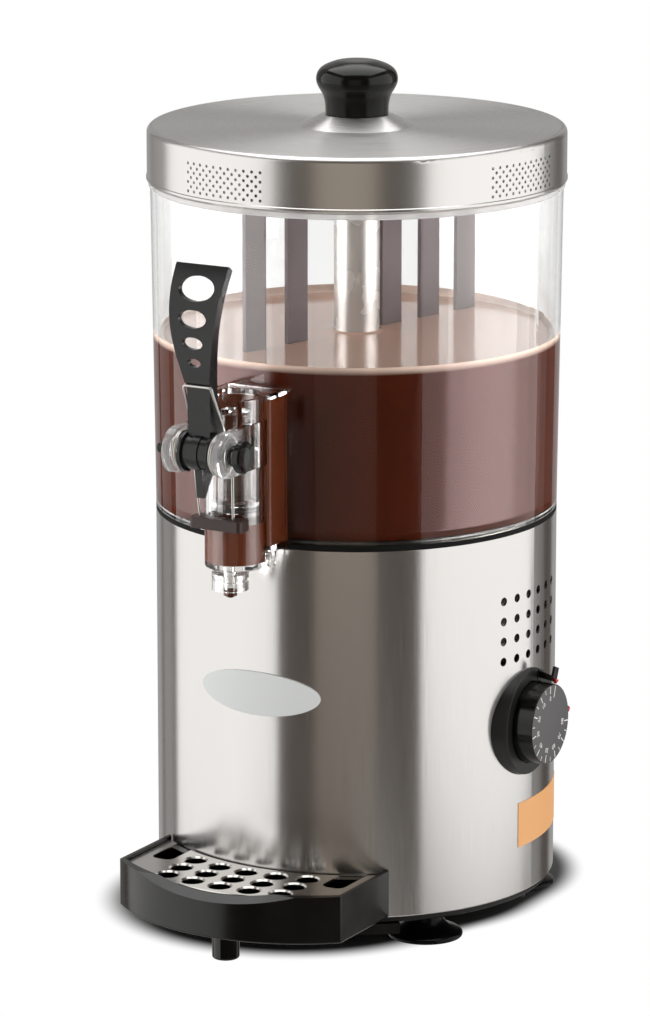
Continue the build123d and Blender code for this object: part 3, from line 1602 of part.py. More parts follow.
# ================================================================ stirrer
arm_dir = radians(AGIT_ANGLE)
arm_plane = Plane(
    origin=(0, 0, 0),
    x_dir=(-sin(arm_dir), cos(arm_dir), 0),
    z_dir=(cos(arm_dir), sin(arm_dir), 0),
)
with BuildPart() as agitator:
    with BuildSketch(Plane.XY.offset(397)):
        Circle(17)
    extrude(amount=26)
    fillet(agitator.edges().filter_by(GeomType.CIRCLE).group_by(Axis.Z)[-1], 3)
    # arm and slats lie in one upright plane through the axis
    with BuildSketch(arm_plane):
        with Locations((4.5, 413)):
            Rectangle(180, 12)
    extrude(amount=2, both=True)
    with BuildSketch(arm_plane):
        with Locations(*[(r, 328.5) for r in (-78.0, -46.6, 26.6, 57.0, 86.5)]):
            Rectangle(15.0, 181.0)
    extrude(amount=1.25, both=True)
    # socket over the top of the tube, and the square drive
    with BuildSketch(Plane.XY.offset(396)):
        Circle(TUBE_R + 0.6)
    extrude(amount=7.0, mode=Mode.SUBTRACT)
    with BuildSketch(Plane.XY.offset(402)):
        Circle(5.0)
    extrude(amount=2.5, mode=Mode.SUBTRACT)
    with BuildSketch(Plane.XY.offset(403)):
        Rectangle(5.8, 5.8)
    extrude(amount=12, mode=Mode.SUBTRACT)
agitator.part.label = "agitator"
export_step(agitator.part, "parts/agitator.step")
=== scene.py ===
import json
import math

import bpy
import bmesh
import numpy as np
from mathutils import Matrix, Vector


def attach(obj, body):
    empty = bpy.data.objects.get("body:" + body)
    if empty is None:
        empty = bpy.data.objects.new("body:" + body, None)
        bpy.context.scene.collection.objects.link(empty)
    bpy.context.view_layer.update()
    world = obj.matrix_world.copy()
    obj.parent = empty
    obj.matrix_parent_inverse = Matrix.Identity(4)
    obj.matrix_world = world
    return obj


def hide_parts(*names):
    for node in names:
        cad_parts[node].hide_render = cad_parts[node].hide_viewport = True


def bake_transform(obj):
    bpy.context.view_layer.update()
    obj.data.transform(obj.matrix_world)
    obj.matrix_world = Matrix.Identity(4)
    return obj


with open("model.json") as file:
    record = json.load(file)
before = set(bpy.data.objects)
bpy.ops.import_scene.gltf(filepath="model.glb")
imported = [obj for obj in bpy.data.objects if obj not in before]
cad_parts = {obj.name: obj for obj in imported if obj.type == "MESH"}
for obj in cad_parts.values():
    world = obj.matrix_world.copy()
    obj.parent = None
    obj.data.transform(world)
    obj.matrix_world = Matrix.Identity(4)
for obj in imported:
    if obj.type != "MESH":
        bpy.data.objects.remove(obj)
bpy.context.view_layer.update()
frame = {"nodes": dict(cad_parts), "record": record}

NODES = frame["nodes"]
SLOT_OF = {s["node"]: s["material_slot"] for s in frame["record"]["subparts"]}
MM = 0.001
SCENE = bpy.context.scene


# ------------------------------------------------------------------ helpers
def link(obj):
    SCENE.collection.objects.link(obj)
    return obj


def mesh_object(name, verts, faces, smooth=True):
    me = bpy.data.meshes.new(name)
    me.from_pydata([tuple(v) for v in verts], [], faces)
    me.update()
    if smooth:
        me.polygons.foreach_set("use_smooth", [True] * len(me.polygons))
    return link(bpy.data.objects.new(name, me))


def revolve(name, profile, segments=192, smooth=True):
    """Closed ring of faces from (radius, height) points in millimetres, about Z."""
    verts, faces, rows = [], [], []
    for r, z in profile:
        if r < 1e-6:
            rows.append([len(verts)])
            verts.append((0, 0, z * MM))
        else:
            rows.append(list(range(len(verts), len(verts) + segments)))
            for k in range(segments):
                a = 2 * math.pi * k / segments
                verts.append((r * MM * math.cos(a), r * MM * math.sin(a), z * MM))
    for i in range(len(rows) - 1):
        a, b = rows[i], rows[i + 1]
        for k in range(segments):
            n = (k + 1) % segments
            if len(a) == 1 and len(b) == 1:
                continue
            if len(a) == 1:
                faces.append((a[0], b[n], b[k]))
            elif len(b) == 1:
                faces.append((a[k], a[n], b[0]))
            else:
                faces.append((a[k], a[n], b[n], b[k]))
    return mesh_object(name, verts, faces, smooth)


def crease(obj, degrees):
    """Smooth shading that keeps edges sharper than the angle."""
    me = obj.data
    me.polygons.foreach_set("use_smooth", [True] * len(me.polygons))
    me.set_sharp_from_angle(angle=math.radians(degrees))
    return obj


def tube(name, points, radius, segments=14):
    """Round wire along a polyline, in millimetres, with closed ends."""
    pts = [Vector(p) for p in points]
    n = len(pts)
    tangents = []
    for i in range(n):
        t = pts[min(i + 1, n - 1)] - pts[max(i - 1, 0)]
        tangents.append(t.normalized())
    normal = tangents[0].orthogonal().normalized()
    verts, faces = [], []
    for i in range(n):
        if i:
            axis = tangents[i - 1].cross(tangents[i])
            if axis.length > 1e-9:
                ang = tangents[i - 1].angle(tangents[i])
                normal = Matrix.Rotation(ang, 3, axis.normalized()) @ normal
        side = tangents[i].cross(normal).normalized()
        for k in range(segments):
            a = 2 * math.pi * k / segments
            p = pts[i] + radius * (math.cos(a) * normal + math.sin(a) * side)
            verts.append(p * MM)
    for i in range(n - 1):
        for k in range(segments):
            m = (k + 1) % segments
            faces.append(
                (i * segments + k, i * segments + m, (i + 1) * segments + m, (i + 1) * segments + k)
            )
    faces.append(tuple(reversed(range(segments))))
    faces.append(tuple(range((n - 1) * segments, n * segments)))
    return mesh_object(name, verts, faces)


def boolean(obj, other, operation):
    m = obj.modifiers.new("b", "BOOLEAN")
    m.object = other
    m.operation = operation
    m.solver = "EXACT"
    dg = bpy.context.evaluated_depsgraph_get()
    me = bpy.data.meshes.new_from_object(obj.evaluated_get(dg))
    obj.modifiers.clear()
    obj.data = me
    bpy.data.objects.remove(other)
    return obj


def box_mesh(name, lo, hi):
    x0, y0, z0 = (c * MM for c in lo)
    x1, y1, z1 = (c * MM for c in hi)
    v = [(x, y, z) for z in (z0, z1) for y in (y0, y1) for x in (x0, x1)]
    f = [(0, 2, 3, 1), (4, 5, 7, 6), (0, 1, 5, 4), (2, 6, 7, 3), (0, 4, 6, 2), (1, 3, 7, 5)]
    return mesh_object(name, v, f, smooth=False)


def disc_post(name, x, y, r, z0, z1, segments=96):
    o = revolve(name, [(0, z0), (r, z0), (r, z1), (0, z1)], segments, smooth=False)
    o.data.transform(Matrix.Translation((x * MM, y * MM, 0)))
    return o


# ---------------------------------------------------------------- materials
class Mat:
    """A small wrapper to write node trees briefly."""

    def __init__(self, name):
        self.m = bpy.data.materials.new(name)
        self.m.use_nodes = True
        self.t = self.m.node_tree
        self.t.nodes.clear()
        self.out = self.t.nodes.new("ShaderNodeOutputMaterial")
        self.bsdf = self.t.nodes.new("ShaderNodeBsdfPrincipled")
        self.t.links.new(self.bsdf.outputs["BSDF"], self.out.inputs["Surface"])

    def set(self, **values):
        for k, v in values.items():
            key = k.replace("_", " ").title().replace("Ior", "IOR")
            s = self.bsdf.inputs[key]
            s.default_value = (*v, 1.0) if isinstance(v, tuple) and len(v) == 3 else v
        return self

    def node(self, kind, **props):
        n = self.t.nodes.new(kind)
        for k, v in props.items():
            setattr(n, k, v)
        return n

    def wire(self, a, b):
        self.t.links.new(a, b)

    def math(self, op, a, b=None):
        n = self.node("ShaderNodeMath", operation=op)
        for i, v in enumerate((a, b)):
            if v is None:
                continue
            if hasattr(v, "is_output"):
                self.wire(v, n.inputs[i])
            else:
                n.inputs[i].default_value = v
        return n.outputs[0]

    def object_xyz(self):
        tc = self.node("ShaderNodeTexCoord")
        sep = self.node("ShaderNodeSeparateXYZ")
        self.wire(tc.outputs["Object"], sep.inputs[0])
        return tc, sep.outputs

    def noise(self, vector, scale, detail=2.0, rough=0.5):
        n = self.node("ShaderNodeTexNoise")
        n.inputs["Scale"].default_value = scale
        n.inputs["Detail"].default_value = detail
        n.inputs["Roughness"].default_value = rough
        if vector is not None:
            self.wire(vector, n.inputs["Vector"])
        return n.outputs["Fac"]

    def remap(self, value, lo, hi, from_lo=0.3, from_hi=0.7):
        n = self.node("ShaderNodeMapRange")
        n.inputs["From Min"].default_value = from_lo
        n.inputs["From Max"].default_value = from_hi
        n.inputs["To Min"].default_value = lo
        n.inputs["To Max"].default_value = hi
        self.wire(value, n.inputs["Value"])
        return n.outputs["Result"]

    def bump(self, height, strength, distance=0.0002):
        n = self.node("ShaderNodeBump")
        n.inputs["Strength"].default_value = strength
        n.inputs["Distance"].default_value = distance
        self.wire(height, n.inputs["Height"])
        self.wire(n.outputs["Normal"], self.bsdf.inputs["Normal"])
        return n


def steel(name, color, rough, aniso, grain, wall_rough=None, split=(0.0, 0.0), depth=0.02):
    """Brushed steel on a body of revolution. grain: 'upright' or 'round'.

    wall_rough: roughness below the heights in split, for a smoother upright wall.
    """
    m = Mat(name).set(base_color=color, metallic=1.0, roughness=rough)
    _, (x, y, z) = m.object_xyz()
    theta = m.math("ARCTAN2", y, x)
    radius = m.math("SQRT", m.math("ADD", m.math("MULTIPLY", x, x), m.math("MULTIPLY", y, y)))
    comb = m.node("ShaderNodeCombineXYZ")
    if grain == "upright":
        m.wire(m.math("MULTIPLY", theta, 300.0), comb.inputs[0])
        m.wire(m.math("MULTIPLY", z, 26.0), comb.inputs[1])
    else:
        m.wire(m.math("MULTIPLY", m.math("SUBTRACT", radius, z), 2600.0), comb.inputs[0])
        m.wire(m.math("MULTIPLY", theta, 1.6), comb.inputs[1])
    streak = m.noise(comb.outputs[0], 1.0, 3.0, 0.6)
    varied = m.remap(streak, rough - 0.03, rough + 0.04)
    if wall_rough is not None:
        high = m.remap(z, 0.0, 1.0, *split)
        low = m.math("SUBTRACT", 1.0, high)
        varied = m.math("ADD", m.math("MULTIPLY", varied, high), m.math("MULTIPLY", low, wall_rough))
    m.wire(varied, m.bsdf.inputs["Roughness"])
    m.bump(streak, depth, 0.00012)
    tan = m.node("ShaderNodeTangent", direction_type="RADIAL", axis="Z")
    m.wire(tan.outputs[0], m.bsdf.inputs["Tangent"])
    m.set(anisotropic=aniso, anisotropic_rotation=0.25)
    if wall_rough is not None:
        m.wire(m.math("MULTIPLY", high, aniso), m.bsdf.inputs["Anisotropic"])
    return m.m


def plastic(name, color, rough, bump=0.0, scale=900.0, ior=1.5, coat=0.0, specular=0.5):
    """Moulded plastic: fine grain, and gloss that wanders a little from place to place."""
    m = Mat(name).set(base_color=color, roughness=rough, ior=ior, specular_ior_level=specular)
    tc, _ = m.object_xyz()
    patches = m.noise(tc.outputs["Object"], 55.0, 2.0, 0.5)
    m.wire(m.remap(patches, rough - 0.025, rough + 0.035), m.bsdf.inputs["Roughness"])
    if bump:
        n = m.noise(tc.outputs["Object"], scale, 3.0, 0.6)
        m.bump(n, bump, 0.0002)
    if coat:
        m.set(coat_weight=coat, coat_roughness=0.05)
    return m.m


def metal(name, color, rough, metallic=1.0):
    m = Mat(name).set(base_color=color, metallic=metallic, roughness=rough)
    tc, _ = m.object_xyz()
    n = m.noise(tc.outputs["Object"], 60.0, 2.0, 0.5)
    m.wire(m.remap(n, rough - 0.02, rough + 0.03), m.bsdf.inputs["Roughness"])
    return m.m


def clear(name, color, rough=0.0, ior=1.49):
    m = Mat(name).set(base_color=color, roughness=rough, ior=ior, transmission_weight=1.0)
    return m.m


MATS = {
    "brushed_steel": steel("case_steel", (0.605, 0.597, 0.588), 0.21, 0.7, "upright"),
    "lid_steel": steel("lid_steel", (0.635, 0.628, 0.618), 0.29, 0.82, "round", 0.25, (0.4282, 0.4310), 0.006),
    "plain_steel": metal("satin_steel", (0.56, 0.55, 0.53), 0.24),
    "zinc_steel": metal("plated_steel", (0.55, 0.56, 0.57), 0.3),
    "pan_plastic": plastic("pan_plastic", (0.006, 0.0058, 0.0055), 0.4, 0.05, specular=0.25),
    "black_rubber": plastic("rubber", (0.010, 0.010, 0.010), 0.42, 0.04),
    "black_plastic": plastic("black_plastic", (0.0009, 0.0009, 0.0008), 0.19, 0.015, 1400.0, specular=0.42),
    "bezel_plastic": plastic("bezel_plastic", (0.009, 0.009, 0.0087), 0.38, 0.03, 1400.0, specular=0.4),
    "lever_plastic": plastic("lever_plastic", (0.007, 0.007, 0.0073), 0.26, 0.02, 1400.0, specular=0.42),
    "stirrer_plastic": plastic("stirrer_plastic", (0.140, 0.113, 0.117), 0.6, 0.02, 1400.0, specular=0.2),
    "knob_plastic": plastic("knob_plastic", (0.003, 0.003, 0.003), 0.16, 0.01, 1400.0, specular=0.3),
    "clear_plastic": clear("clear_plastic", (0.975, 0.975, 0.972)),
    "seal_silicone": plastic("silicone", (0.62, 0.60, 0.57), 0.5),
    "bar_plastic": plastic("bar_plastic", (0.03, 0.012, 0.008), 0.32),
    "red_plastic": plastic("red_plastic", (0.45, 0.015, 0.01), 0.35),
    "badge_white": plastic("badge_white", (0.70, 0.725, 0.72), 0.34),
    "label_orange": plastic("label_orange", (0.84, 0.42, 0.16), 0.4),
    "cast_aluminium": metal("cast_aluminium", (0.55, 0.55, 0.55), 0.45),
    "bush_bronze": metal("bronze", (0.52, 0.36, 0.16), 0.35),
    "gear_nylon": plastic("nylon", (0.72, 0.71, 0.66), 0.45),
    "motor_black": plastic("motor_black", (0.02, 0.02, 0.022), 0.4),
    "wire_brown": plastic("wire_brown", (0.10, 0.035, 0.015), 0.45),
}

for name, obj in NODES.items():
    obj.data.materials.clear()
    obj.data.materials.append(MATS[SLOT_OF[name]])

# pieces whose finish differs from the rest of their kind
# clear bowl, milkier along its bead and in the band the lid covers
walls = Mat("bowl_clear").set(roughness=0.0, ior=1.49, specular_tint=(0.5, 0.5, 0.5))
_, (bx, by, bz) = walls.object_xyz()
height = walls.remap(bz, 0.0, 1.0, 0.395, 0.415)
for socket, low, bead, band in (
    ("Transmission Weight", (1.0,) * 3, (0.42,) * 3, (0.6,) * 3),
    ("Base Color", (0.935, 0.935, 0.932), (0.80, 0.79, 0.78), (0.46, 0.455, 0.45)),
):
    ramp = walls.node("ShaderNodeValToRGB")
    stops = ramp.color_ramp.elements
    stops[0].position, stops[1].position = 0.165, 0.20
    stops[0].color, stops[1].color = (*low, 1.0), (*bead, 1.0)
    for at, tone in ((0.40, bead), (0.50, band)):
        stops.new(at).color = (*tone, 1.0)
    walls.wire(height, ramp.inputs["Fac"])
    walls.wire(ramp.outputs["Color"], walls.bsdf.inputs[socket])

# the ears at the front of the tap turn partly white diffuse: partly a frosted finish, partly painted light for the
# bright room seen through them
tap_frost_and_painted_light = Mat("tap_clear").set(base_color=(0.86, 0.86, 0.855), roughness=0.0, ior=1.49)
_, (tx, ty, tz) = tap_frost_and_painted_light.object_xyz()
tap_frost_and_painted_light.wire(tap_frost_and_painted_light.remap(ty, 0.80, 1.0, -0.158, -0.150), tap_frost_and_painted_light.bsdf.inputs["Transmission Weight"])
for name, mat in (
    ("bowl", walls.m),
    ("tap_body", tap_frost_and_painted_light.m),
    ("centre_tube", metal("tube_steel", (0.55, 0.53, 0.51), 0.26, 0.5)),
    ("bowl_gasket", plastic("gasket_rubber", (0.004, 0.004, 0.004), 0.6, 0.02, specular=0.15)),
    ("drip_grate", metal("grate_steel", (0.66, 0.645, 0.62), 0.20)),
    ("suction_feet", plastic("foot_rubber", (0.0015, 0.0015, 0.0015), 0.22, 0.01, specular=0.12)),
    ("tray_foot", plastic("foot_gloss", (0.001, 0.001, 0.001), 0.07, specular=0.42)),
    ("m4_screws", metal("screw_blacked", (0.035, 0.034, 0.033), 0.3)),
):
    NODES[name].data.materials.clear()
    NODES[name].data.materials.append(mat)

# ------------------------------------------------------------- chocolate fill
LEVEL = 318.2
FILM = math.radians(29.0)


def bowl_inner(z):
    return 110.0 + 2.4 * (z - 226.0) / (428.8 - 226.0) - 3.0


choc = Mat("chocolate").set(
    roughness=0.11,
    ior=1.5,
    specular_ior_level=0.38,
    specular_tint=(1.0, 0.78, 0.79),
)
# paler film where the liquid has washed up the wall
_, (cx, cy, cz) = choc.object_xyz()
film_tone = choc.node("ShaderNodeValToRGB")
film_tone.color_ramp.elements[0].color = (0.062, 0.0098, 0.0022, 1.0)
film_tone.color_ramp.elements[1].color = (0.82, 0.64, 0.53, 1.0)
choc.wire(choc.remap(cz, 0.0, 1.0, 0.3152, 0.3186), film_tone.inputs["Fac"])
choc.wire(film_tone.outputs["Color"], choc.bsdf.inputs["Base Color"])
# painted reflection: the liquid's top is coloured far paler than the fill, standing in for the bright room its surface
# reflects
choc_top_painted_reflection = Mat("chocolate_top_painted_reflection").set(base_color=(0.54, 0.345, 0.265), roughness=0.12, ior=1.5, specular_ior_level=0.32)
# painted highlight: a still paler band round the edge of the surface, where it rises to meet the wall
choc_rim_painted_highlight = Mat("chocolate_rim_painted_highlight").set(base_color=(0.80, 0.63, 0.53), roughness=0.3, ior=1.45)
# painted light: the chocolate in the tap is coloured lighter than the same liquid in the bowl, for the light that
# reaches it through the clear tap
choc_tap_painted_light = Mat("chocolate_in_tap_painted_light").set(base_color=(0.115, 0.025, 0.007), roughness=0.2, ior=1.5, specular_ior_level=0.3)
for liquid, size in ((choc, 30.0), (choc_top_painted_reflection, 45.0), (choc_rim_painted_highlight, 400.0), (choc_tap_painted_light, 30.0)):
    tc, _ = liquid.object_xyz()
    rough = liquid.bsdf.inputs["Roughness"].default_value
    swirl = liquid.noise(tc.outputs["Object"], size, 2.0, 0.5)
    liquid.wire(liquid.remap(swirl, rough - 0.02, rough + 0.03), liquid.bsdf.inputs["Roughness"])

fill_profile = [(11.0, 200.0), (93.0, 200.0), (94.2, 227.3), (104.1, 227.3), (104.1, 225.1), (105.9, 225.1)]
fill_profile += [(bowl_inner(z) + 0.12, z) for z in np.linspace(226.5, LEVEL + 1.3, 24)]
for k in range(1, 9):
    t = k / 8
    fill_profile.append((bowl_inner(LEVEL) + 0.1 - 4.0 * t, LEVEL + 1.3 * (1 - t) ** 2.2))
fill_profile += [(90.0, LEVEL), (60.0, LEVEL), (30.0, LEVEL), (15.5, LEVEL)]
fill_profile += [(13.6, LEVEL + 0.25), (12.45, LEVEL + 1.0), (11.0, LEVEL + 1.0), (11.0, 200.0)]
fill = revolve("chocolate_fill", fill_profile, 256)
fill.data.materials.append(choc.m)
fill.data.materials.append(choc_top_painted_reflection.m)
fill.data.materials.append(choc_rim_painted_highlight.m)
for p in fill.data.polygons:
    c = p.center
    r = math.hypot(c.x, c.y) / MM
    if c.z / MM > LEVEL - 0.05 and r < bowl_inner(LEVEL) + 0.08:
        p.material_index = 1 if r < bowl_inner(LEVEL) - 2.2 else 2
# the film stands higher up the wall at the back
for v in fill.data.vertices:
    r = math.hypot(v.co.x, v.co.y) / MM
    if v.co.z / MM > LEVEL + 0.02 and r > 100.0:
        back_part = max(0.0, (v.co.y * math.cos(FILM) - v.co.x * math.sin(FILM)) / (r * MM)) ** 0.7
        v.co.z += 3.6 * MM * back_part * min(1.0, (v.co.z / MM - LEVEL) / 1.3)
crease(fill, 50)
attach(fill, "bowl")

# what stands in the tap: the feed box, the chamber under the plunger, the spout
TAP_Y, NOZZLE_Y = -131.4, -136.5
tap_fill = box_mesh("tap_chocolate", (-15.68, -124.58, 224.92), (15.68, -106.0, 303.4))
tap_fill = boolean(tap_fill, disc_post("c1", 0, TAP_Y, 16.12, 210, 320), "DIFFERENCE")
tap_fill = boolean(tap_fill, disc_post("c2", 0, TAP_Y, 13.28, 216.9, 238.5), "UNION")
tap_fill = boolean(tap_fill, box_mesh("c3", (-7.58, -120.5, 225.92), (7.58, -111.5, 238.08)), "UNION")
tap_fill.data.materials.clear()
tap_fill.data.materials.append(choc_tap_painted_light.m)
crease(tap_fill, 40)
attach(tap_fill, "bowl")

drop = revolve(
    "spout_drop",
    [(0, 197.6), (1.3, 197.75), (2.2, 198.2), (2.46, 198.8), (2.46, 202.4), (1.4, 201.6), (0, 201.3)],
    48,
)
drop.data.transform(Matrix.Translation((0, NOZZLE_Y * MM, 0)))
drop.data.materials.append(choc.m)
crease(drop, 60)
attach(drop, "bowl")

# ------------------------------------------------------------- torsion spring
PIVOT_Y, PIVOT_Z = -165.0, 282.0
COIL_R, WIRE_R = 10.45, 0.8


def spring_side(side):
    """From the foot on the bar, up through two coils, to the corner of the bail."""
    pts = [(10.0 * side, -150.4, 243.75)]
    for t in np.linspace(0.08, 0.96, 10):
        pts.append(
            (
                (10.0 + 2.0 * t) * side,
                -150.4 + (PIVOT_Y + COIL_R + 150.4) * t,
                243.75 + (PIVOT_Z - 243.75) * t,
            )
        )
    turns = 2.0 * 360 + 26
    for a in np.linspace(0, turns, 110):
        r = math.radians(a)
        pts.append(
            (
                (12.0 - 2.2 * a / turns) * side,
                PIVOT_Y + COIL_R * math.cos(r),
                PIVOT_Z + COIL_R * math.sin(r),
            )
        )
    last = pts[-1]
    end = (8.4 * side, -169.1, 316.1)
    for t in np.linspace(0.06, 1.0, 12):
        pts.append(tuple(last[i] + (end[i] - last[i]) * t for i in range(3)))
    for a in np.linspace(0.2, 1.0, 5):
        q = a * math.pi / 2
        pts.append(
            (
                (8.4 - 1.6 * (1 - math.cos(q))) * side,
                -169.1 - 0.35 * math.sin(q),
                316.1 + 1.5 * math.sin(q),
            )
        )
    return pts


right, left = spring_side(1), spring_side(-1)
across = [(x, -169.45, 317.6) for x in np.linspace(5.6, -5.6, 9)]
spring = tube("spring_wire", right + across + list(reversed(left)), WIRE_R)
crease(spring, 50)
spring.data.materials.append(MATS["plain_steel"])
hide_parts("torsion_spring")
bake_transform(spring)

# ------------------------------------------------------------- dial markings
DIAL_Y, DIAL_Z, FACE_X = -6.0, 113.3, 123.9
white_ink = plastic("white_ink", (0.78, 0.78, 0.76), 0.5)
grey_film = plastic("grey_film", (0.085, 0.083, 0.085), 0.45, 0.02, 1400.0)


def dial_place(angle, r, lift=0.0):
    """A point on the face of the dial; the angle runs from the top, counter-clockwise from the front."""
    a = math.radians(angle)
    return Vector(
        ((FACE_X + lift) * MM, (DIAL_Y - r * math.sin(a)) * MM, (DIAL_Z + r * math.cos(a)) * MM)
    )


def tick(name, angle, inner, outer, half):
    a = math.radians(angle)
    tang = Vector((0, -math.cos(a), -math.sin(a)))
    verts = []
    for lift in (0.01, 0.09):
        for r, s in ((inner, -1), (outer, -1), (outer, 1), (inner, 1)):
            verts.append(dial_place(angle, r, lift) + tang * (s * half * MM))
    faces = [(0, 1, 2, 3), (7, 6, 5, 4), (0, 4, 5, 1), (1, 5, 6, 2), (2, 6, 7, 3), (3, 7, 4, 0)]
    return mesh_object(name, verts, faces, smooth=False)


ink_parts = []
for i in range(18):
    angle = -16.0 + 16.4 * i
    numbered = i % 2 == 1
    inner = 14.6 if i == 0 else (16.9 if numbered else 18.4)
    ink_parts.append(tick(f"tick_{i}", angle, inner, 21.0, 0.3 if numbered or i == 0 else 0.22))
    if numbered:
        a = math.radians(angle)
        curve = bpy.data.curves.new(f"num_{i}", "FONT")
        curve.body = str(10 * (i // 2))
        curve.size = 3.6 * MM
        curve.align_x = curve.align_y = "CENTER"
        curve.extrude = 0.04 * MM
        text = link(bpy.data.objects.new(f"num_{i}", curve))
        up = Vector((0, -math.sin(a), math.cos(a)))
        out = Vector((1, 0, 0))
        right_dir = up.cross(out)
        rot = Matrix((right_dir, up, out)).transposed().to_4x4()
        text.matrix_world = Matrix.Translation(dial_place(angle, 14.2, 0.05)) @ rot
        bpy.context.view_layer.update()
        dg = bpy.context.evaluated_depsgraph_get()
        me = bpy.data.meshes.new_from_object(text.evaluated_get(dg))
        me.transform(text.matrix_world)
        bpy.data.objects.remove(text)
        ink_parts.append(link(bpy.data.objects.new(f"num_mesh_{i}", me)))

bm = bmesh.new()
for o in ink_parts:
    bm.from_mesh(o.data)
    bpy.data.objects.remove(o)
me = bpy.data.meshes.new("dial_marks")
bm.to_mesh(me)
bm.free()
dial_marks = link(bpy.data.objects.new("dial_marks", me))
dial_marks.data.materials.clear()
dial_marks.data.materials.append(white_ink)
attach(dial_marks, "dial")

# printed face under the marks
film = revolve("dial_face", [(0, -0.02), (21.3, -0.02), (21.45, 0.0), (21.3, 0.03), (0, 0.03)], 128)
film.data.transform(
    Matrix.Translation((FACE_X * MM, DIAL_Y * MM, DIAL_Z * MM)) @ Matrix.Rotation(math.pi / 2, 4, "Y")
)
film.data.materials.append(grey_film)
crease(film, 40)
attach(film, "dial")

# ------------------------------------------------------------------- staging
def plane(name, corners, mat):
    o = mesh_object(name, corners, [(0, 1, 2, 3)], smooth=False)
    o.data.materials.append(mat)
    return o


CAM_AZ = 29.15


def direction(rel):
    """Unit vector at an angle to the right of the camera's side, seen from the object."""
    a = math.radians(CAM_AZ + rel)
    return Vector((math.sin(a), -math.cos(a), 0))


def glow(name, color, strength):
    m = bpy.data.materials.new(name)
    m.use_nodes = True
    nt = m.node_tree
    nt.nodes.clear()
    em = nt.nodes.new("ShaderNodeEmission")
    em.inputs["Color"].default_value = (*color, 1.0)
    em.inputs["Strength"].default_value = strength
    mo = nt.nodes.new("ShaderNodeOutputMaterial")
    nt.links.new(em.outputs[0], mo.inputs["Surface"])
    return m


# white paper with a painted shadow, darkened where the machine and its tray stand over it
floor_mat = Mat("floor").set(base_color=(0.07, 0.07, 0.07), roughness=0.9)
floor_mat.set(specular_ior_level=0.0)
_, (fx, fy, fz) = floor_mat.object_xyz()


def shade(x, y0, y1, inner, outer):
    """Painted shadow mask: 0 inside, 1 outside a soft edge at a distance from a line along Y, in metres."""
    m = floor_mat.math
    dx = m("SUBTRACT", fx, x)
    dy = m("SUBTRACT", fy, m("MINIMUM", m("MAXIMUM", fy, y0), y1))
    far = m("SQRT", m("ADD", m("MULTIPLY", dx, dx), m("MULTIPLY", dy, dy)))
    edge = floor_mat.node("ShaderNodeMapRange", interpolation_type="SMOOTHSTEP")
    edge.inputs["From Min"].default_value = inner
    edge.inputs["From Max"].default_value = outer
    floor_mat.wire(far, edge.inputs["Value"])
    return edge.outputs["Result"]


# painted shadow: the paper glows white outside both soft shapes and is dark diffuse inside them
paper_outside_painted_shadow = floor_mat.math(
    "MULTIPLY", shade(0.0, 0.015, 0.045, 0.092, 0.1085), shade(-0.020, -0.031, -0.030, 0.092, 0.114)
)
paper = floor_mat.node("ShaderNodeEmission")
paper.inputs["Color"].default_value = (1.0, 1.0, 1.0, 1.0)
paper.inputs["Strength"].default_value = 1.0
blend_floor = floor_mat.node("ShaderNodeMixShader")
floor_mat.wire(paper_outside_painted_shadow, blend_floor.inputs["Fac"])
floor_mat.wire(floor_mat.bsdf.outputs["BSDF"], blend_floor.inputs[1])
floor_mat.wire(paper.outputs[0], blend_floor.inputs[2])
floor_mat.wire(blend_floor.outputs[0], floor_mat.out.inputs["Surface"])
floor = plane("floor", [(-8, -8, -0.0003), (8, -8, -0.0003), (8, 8, -0.0003), (-8, 8, -0.0003)], floor_mat.m)
floor.visible_glossy = False
floor.visible_transmission = False
floor.visible_shadow = False


def screen(name, rel, distance, width, z0, z1, color, strength):
    """Upright glowing panel facing the machine."""
    d = direction(rel)
    across = Vector((-d.y, d.x, 0)) * width / 2
    mid = d * distance
    return plane(
        name,
        [mid - across + Vector((0, 0, z0)), mid + across + Vector((0, 0, z0)),
         mid + across + Vector((0, 0, z1)), mid - across + Vector((0, 0, z1))],
        glow(name, color, strength),
    )


backdrop = screen("backdrop", 180, 1.7, 3.0, -1.0, 2.2, (1.0, 1.0, 1.0), 1.1)
backdrop.visible_camera = False
backdrop.visible_glossy = False
# white studio seen behind the machine from any side
studio = revolve("studio", [(0.0, -11000.0), (9000.0, -9000.0), (13000.0, 0.0), (9000.0, 9000.0), (0.0, 12000.0)], 48)
studio.data.materials.append(glow("studio", (1.0, 1.0, 1.0), 1.1))
studio.visible_diffuse = False
studio.visible_glossy = False
studio.visible_transmission = False
studio.visible_shadow = False
# the pale floor as the metal shows it from steep angles
under = plane(
    "floor_reflection",
    [(-0.94, -0.94, -0.42), (0.94, -0.94, -0.42), (0.94, 0.94, -0.42), (-0.94, 0.94, -0.42)],
    glow("floor_reflection", (1.0, 0.975, 0.95), 0.62),
)
under.visible_camera = False
under.visible_diffuse = False
under.visible_transmission = False
under.visible_shadow = False
back_dim = screen("back_reflection", 180, 1.6, 1.9, -0.6, 1.6, (1.0, 0.98, 0.96), 0.42)
back_dim.visible_camera = False
back_dim.visible_diffuse = False
back_dim.visible_transmission = False
back_dim.visible_shadow = False
back = direction(180)
for name, rel, level in (("edge_right", 124, 0.27), ("edge_left", -136, 0.36)):
    edge = screen(name, rel, 1.25, 0.34, -0.7, 1.5, (1.0, 0.97, 0.94), level)
    edge.visible_camera = False
    edge.visible_diffuse = False
    edge.visible_transmission = False
    edge.visible_shadow = False


def softbox(name, rel, distance, width, height, z_mid, radiance, color=(1, 1, 1)):
    data = bpy.data.lights.new(name, "AREA")
    data.shape = "RECTANGLE"
    data.size, data.size_y = width, height
    data.energy = radiance * width * height * math.pi
    data.color = color
    o = link(bpy.data.objects.new(name, data))
    d = direction(rel)
    o.location = d * distance + Vector((0, 0, z_mid))
    o.rotation_euler = (-d).to_track_quat("-Z", "Y").to_euler()
    return o


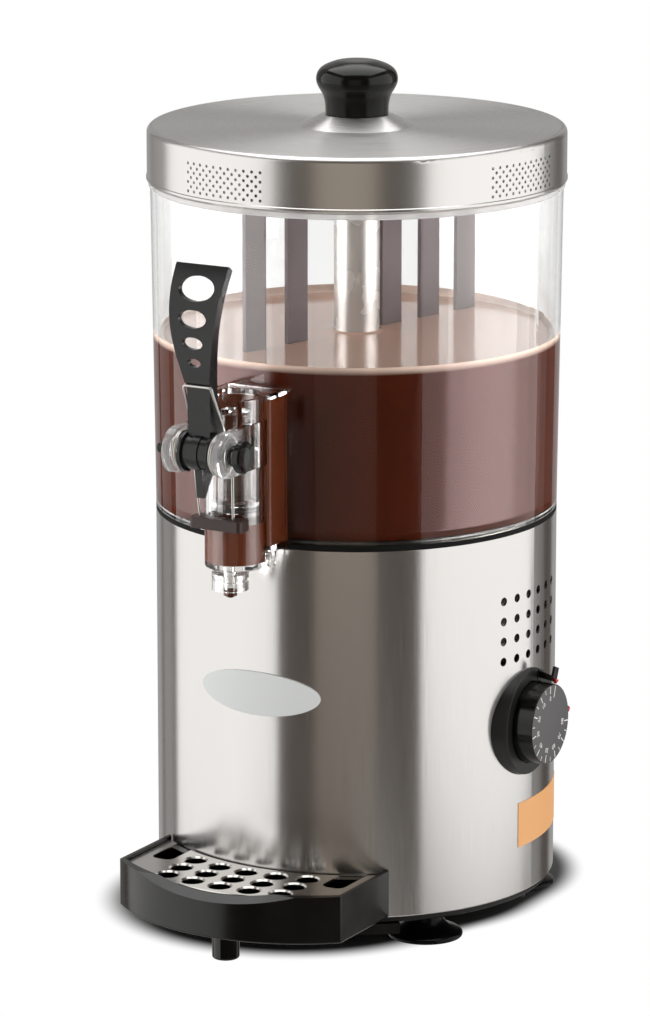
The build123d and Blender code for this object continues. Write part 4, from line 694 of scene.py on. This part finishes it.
TOP_SHEEN = 2.45
CARDS = ((44, 1.5), (56, 7.0), (68, 8.8), (80, 9.4), (92, 8.6), (104, 4.2), (116, 2.4), (128, 0.6))
softbox("soft_left", -83, 0.95, 1.55, 1.56, 0.42, 1.31, (1.0, 0.995, 0.985))
softbox("soft_right", 76, 0.95, 1.62, 1.48, 0.46, 1.35, (1.0, 0.995, 0.985))
softbox("room", -6, 4.2, 2.6, 3.155, 0.6225, 0.345, (1.0, 0.87, 0.73))
# side cards that light what stands inside the clear pieces, brightest well to the side
for side in (-1, 1):
    for k, (rel, level) in enumerate(CARDS):
        card = screen(f"card_{'l' if side < 0 else 'r'}{k}", side * rel, 0.86, 0.183, -0.36, 0.86, (1.0, 0.985, 0.975), level)
        card.visible_camera = False
        card.visible_diffuse = False
        card.visible_glossy = False
        card.visible_shadow = False
# pale room in front, as it shows through the clear bowl from behind
front = screen("front_room", -43, 2.4, 1.62, -1.3, 1.1, (1.0, 0.97, 0.94), 0.43)
front.visible_camera = False
front.visible_diffuse = False
front.visible_glossy = False
front.visible_shadow = False
top = bpy.data.lights.new("soft_top", "AREA")
top.shape = "RECTANGLE"
top.size, top.size_y = 1.6, 1.6
top.energy = 2.9 * 2.56 * math.pi
top_o = link(bpy.data.objects.new("soft_top", top))
top_o.location = back * 0.25 + Vector((0, 0, 1.6))
top_o.rotation_euler = (Vector((0, 0, 0.2)) - top_o.location).to_track_quat("-Z", "Y").to_euler()
top_o.visible_glossy = False
sheen = top.copy()
sheen.energy = TOP_SHEEN * 2.56 * math.pi
sheen_o = link(bpy.data.objects.new("soft_top_sheen", sheen))
sheen_o.location = top_o.location + Vector((0, 0, -0.06))
sheen_o.rotation_euler = top_o.rotation_euler
sheen_o.visible_diffuse = False

world = bpy.data.worlds.new("studio")
world.use_nodes = True
world.node_tree.nodes["Background"].inputs["Color"].default_value = (0.10, 0.084, 0.072, 1.0)
world.node_tree.nodes["Background"].inputs["Strength"].default_value = 1.0
SCENE.world = world

cam = bpy.data.cameras.new("camera")
cam.lens = 183.37
cam.sensor_width = 36.0
cam.clip_start, cam.clip_end = 0.05, 60.0
cam_o = link(bpy.data.objects.new("camera", cam))
cam_o.location = (1.3492, -2.4192, 0.8754)
cam_o.rotation_euler = (math.radians(90 - 13.35), 0.0, math.radians(29.15 + 0.356))
SCENE.camera = cam_o

SCENE.view_settings.view_transform = "Standard"
SCENE.view_settings.look = "None"
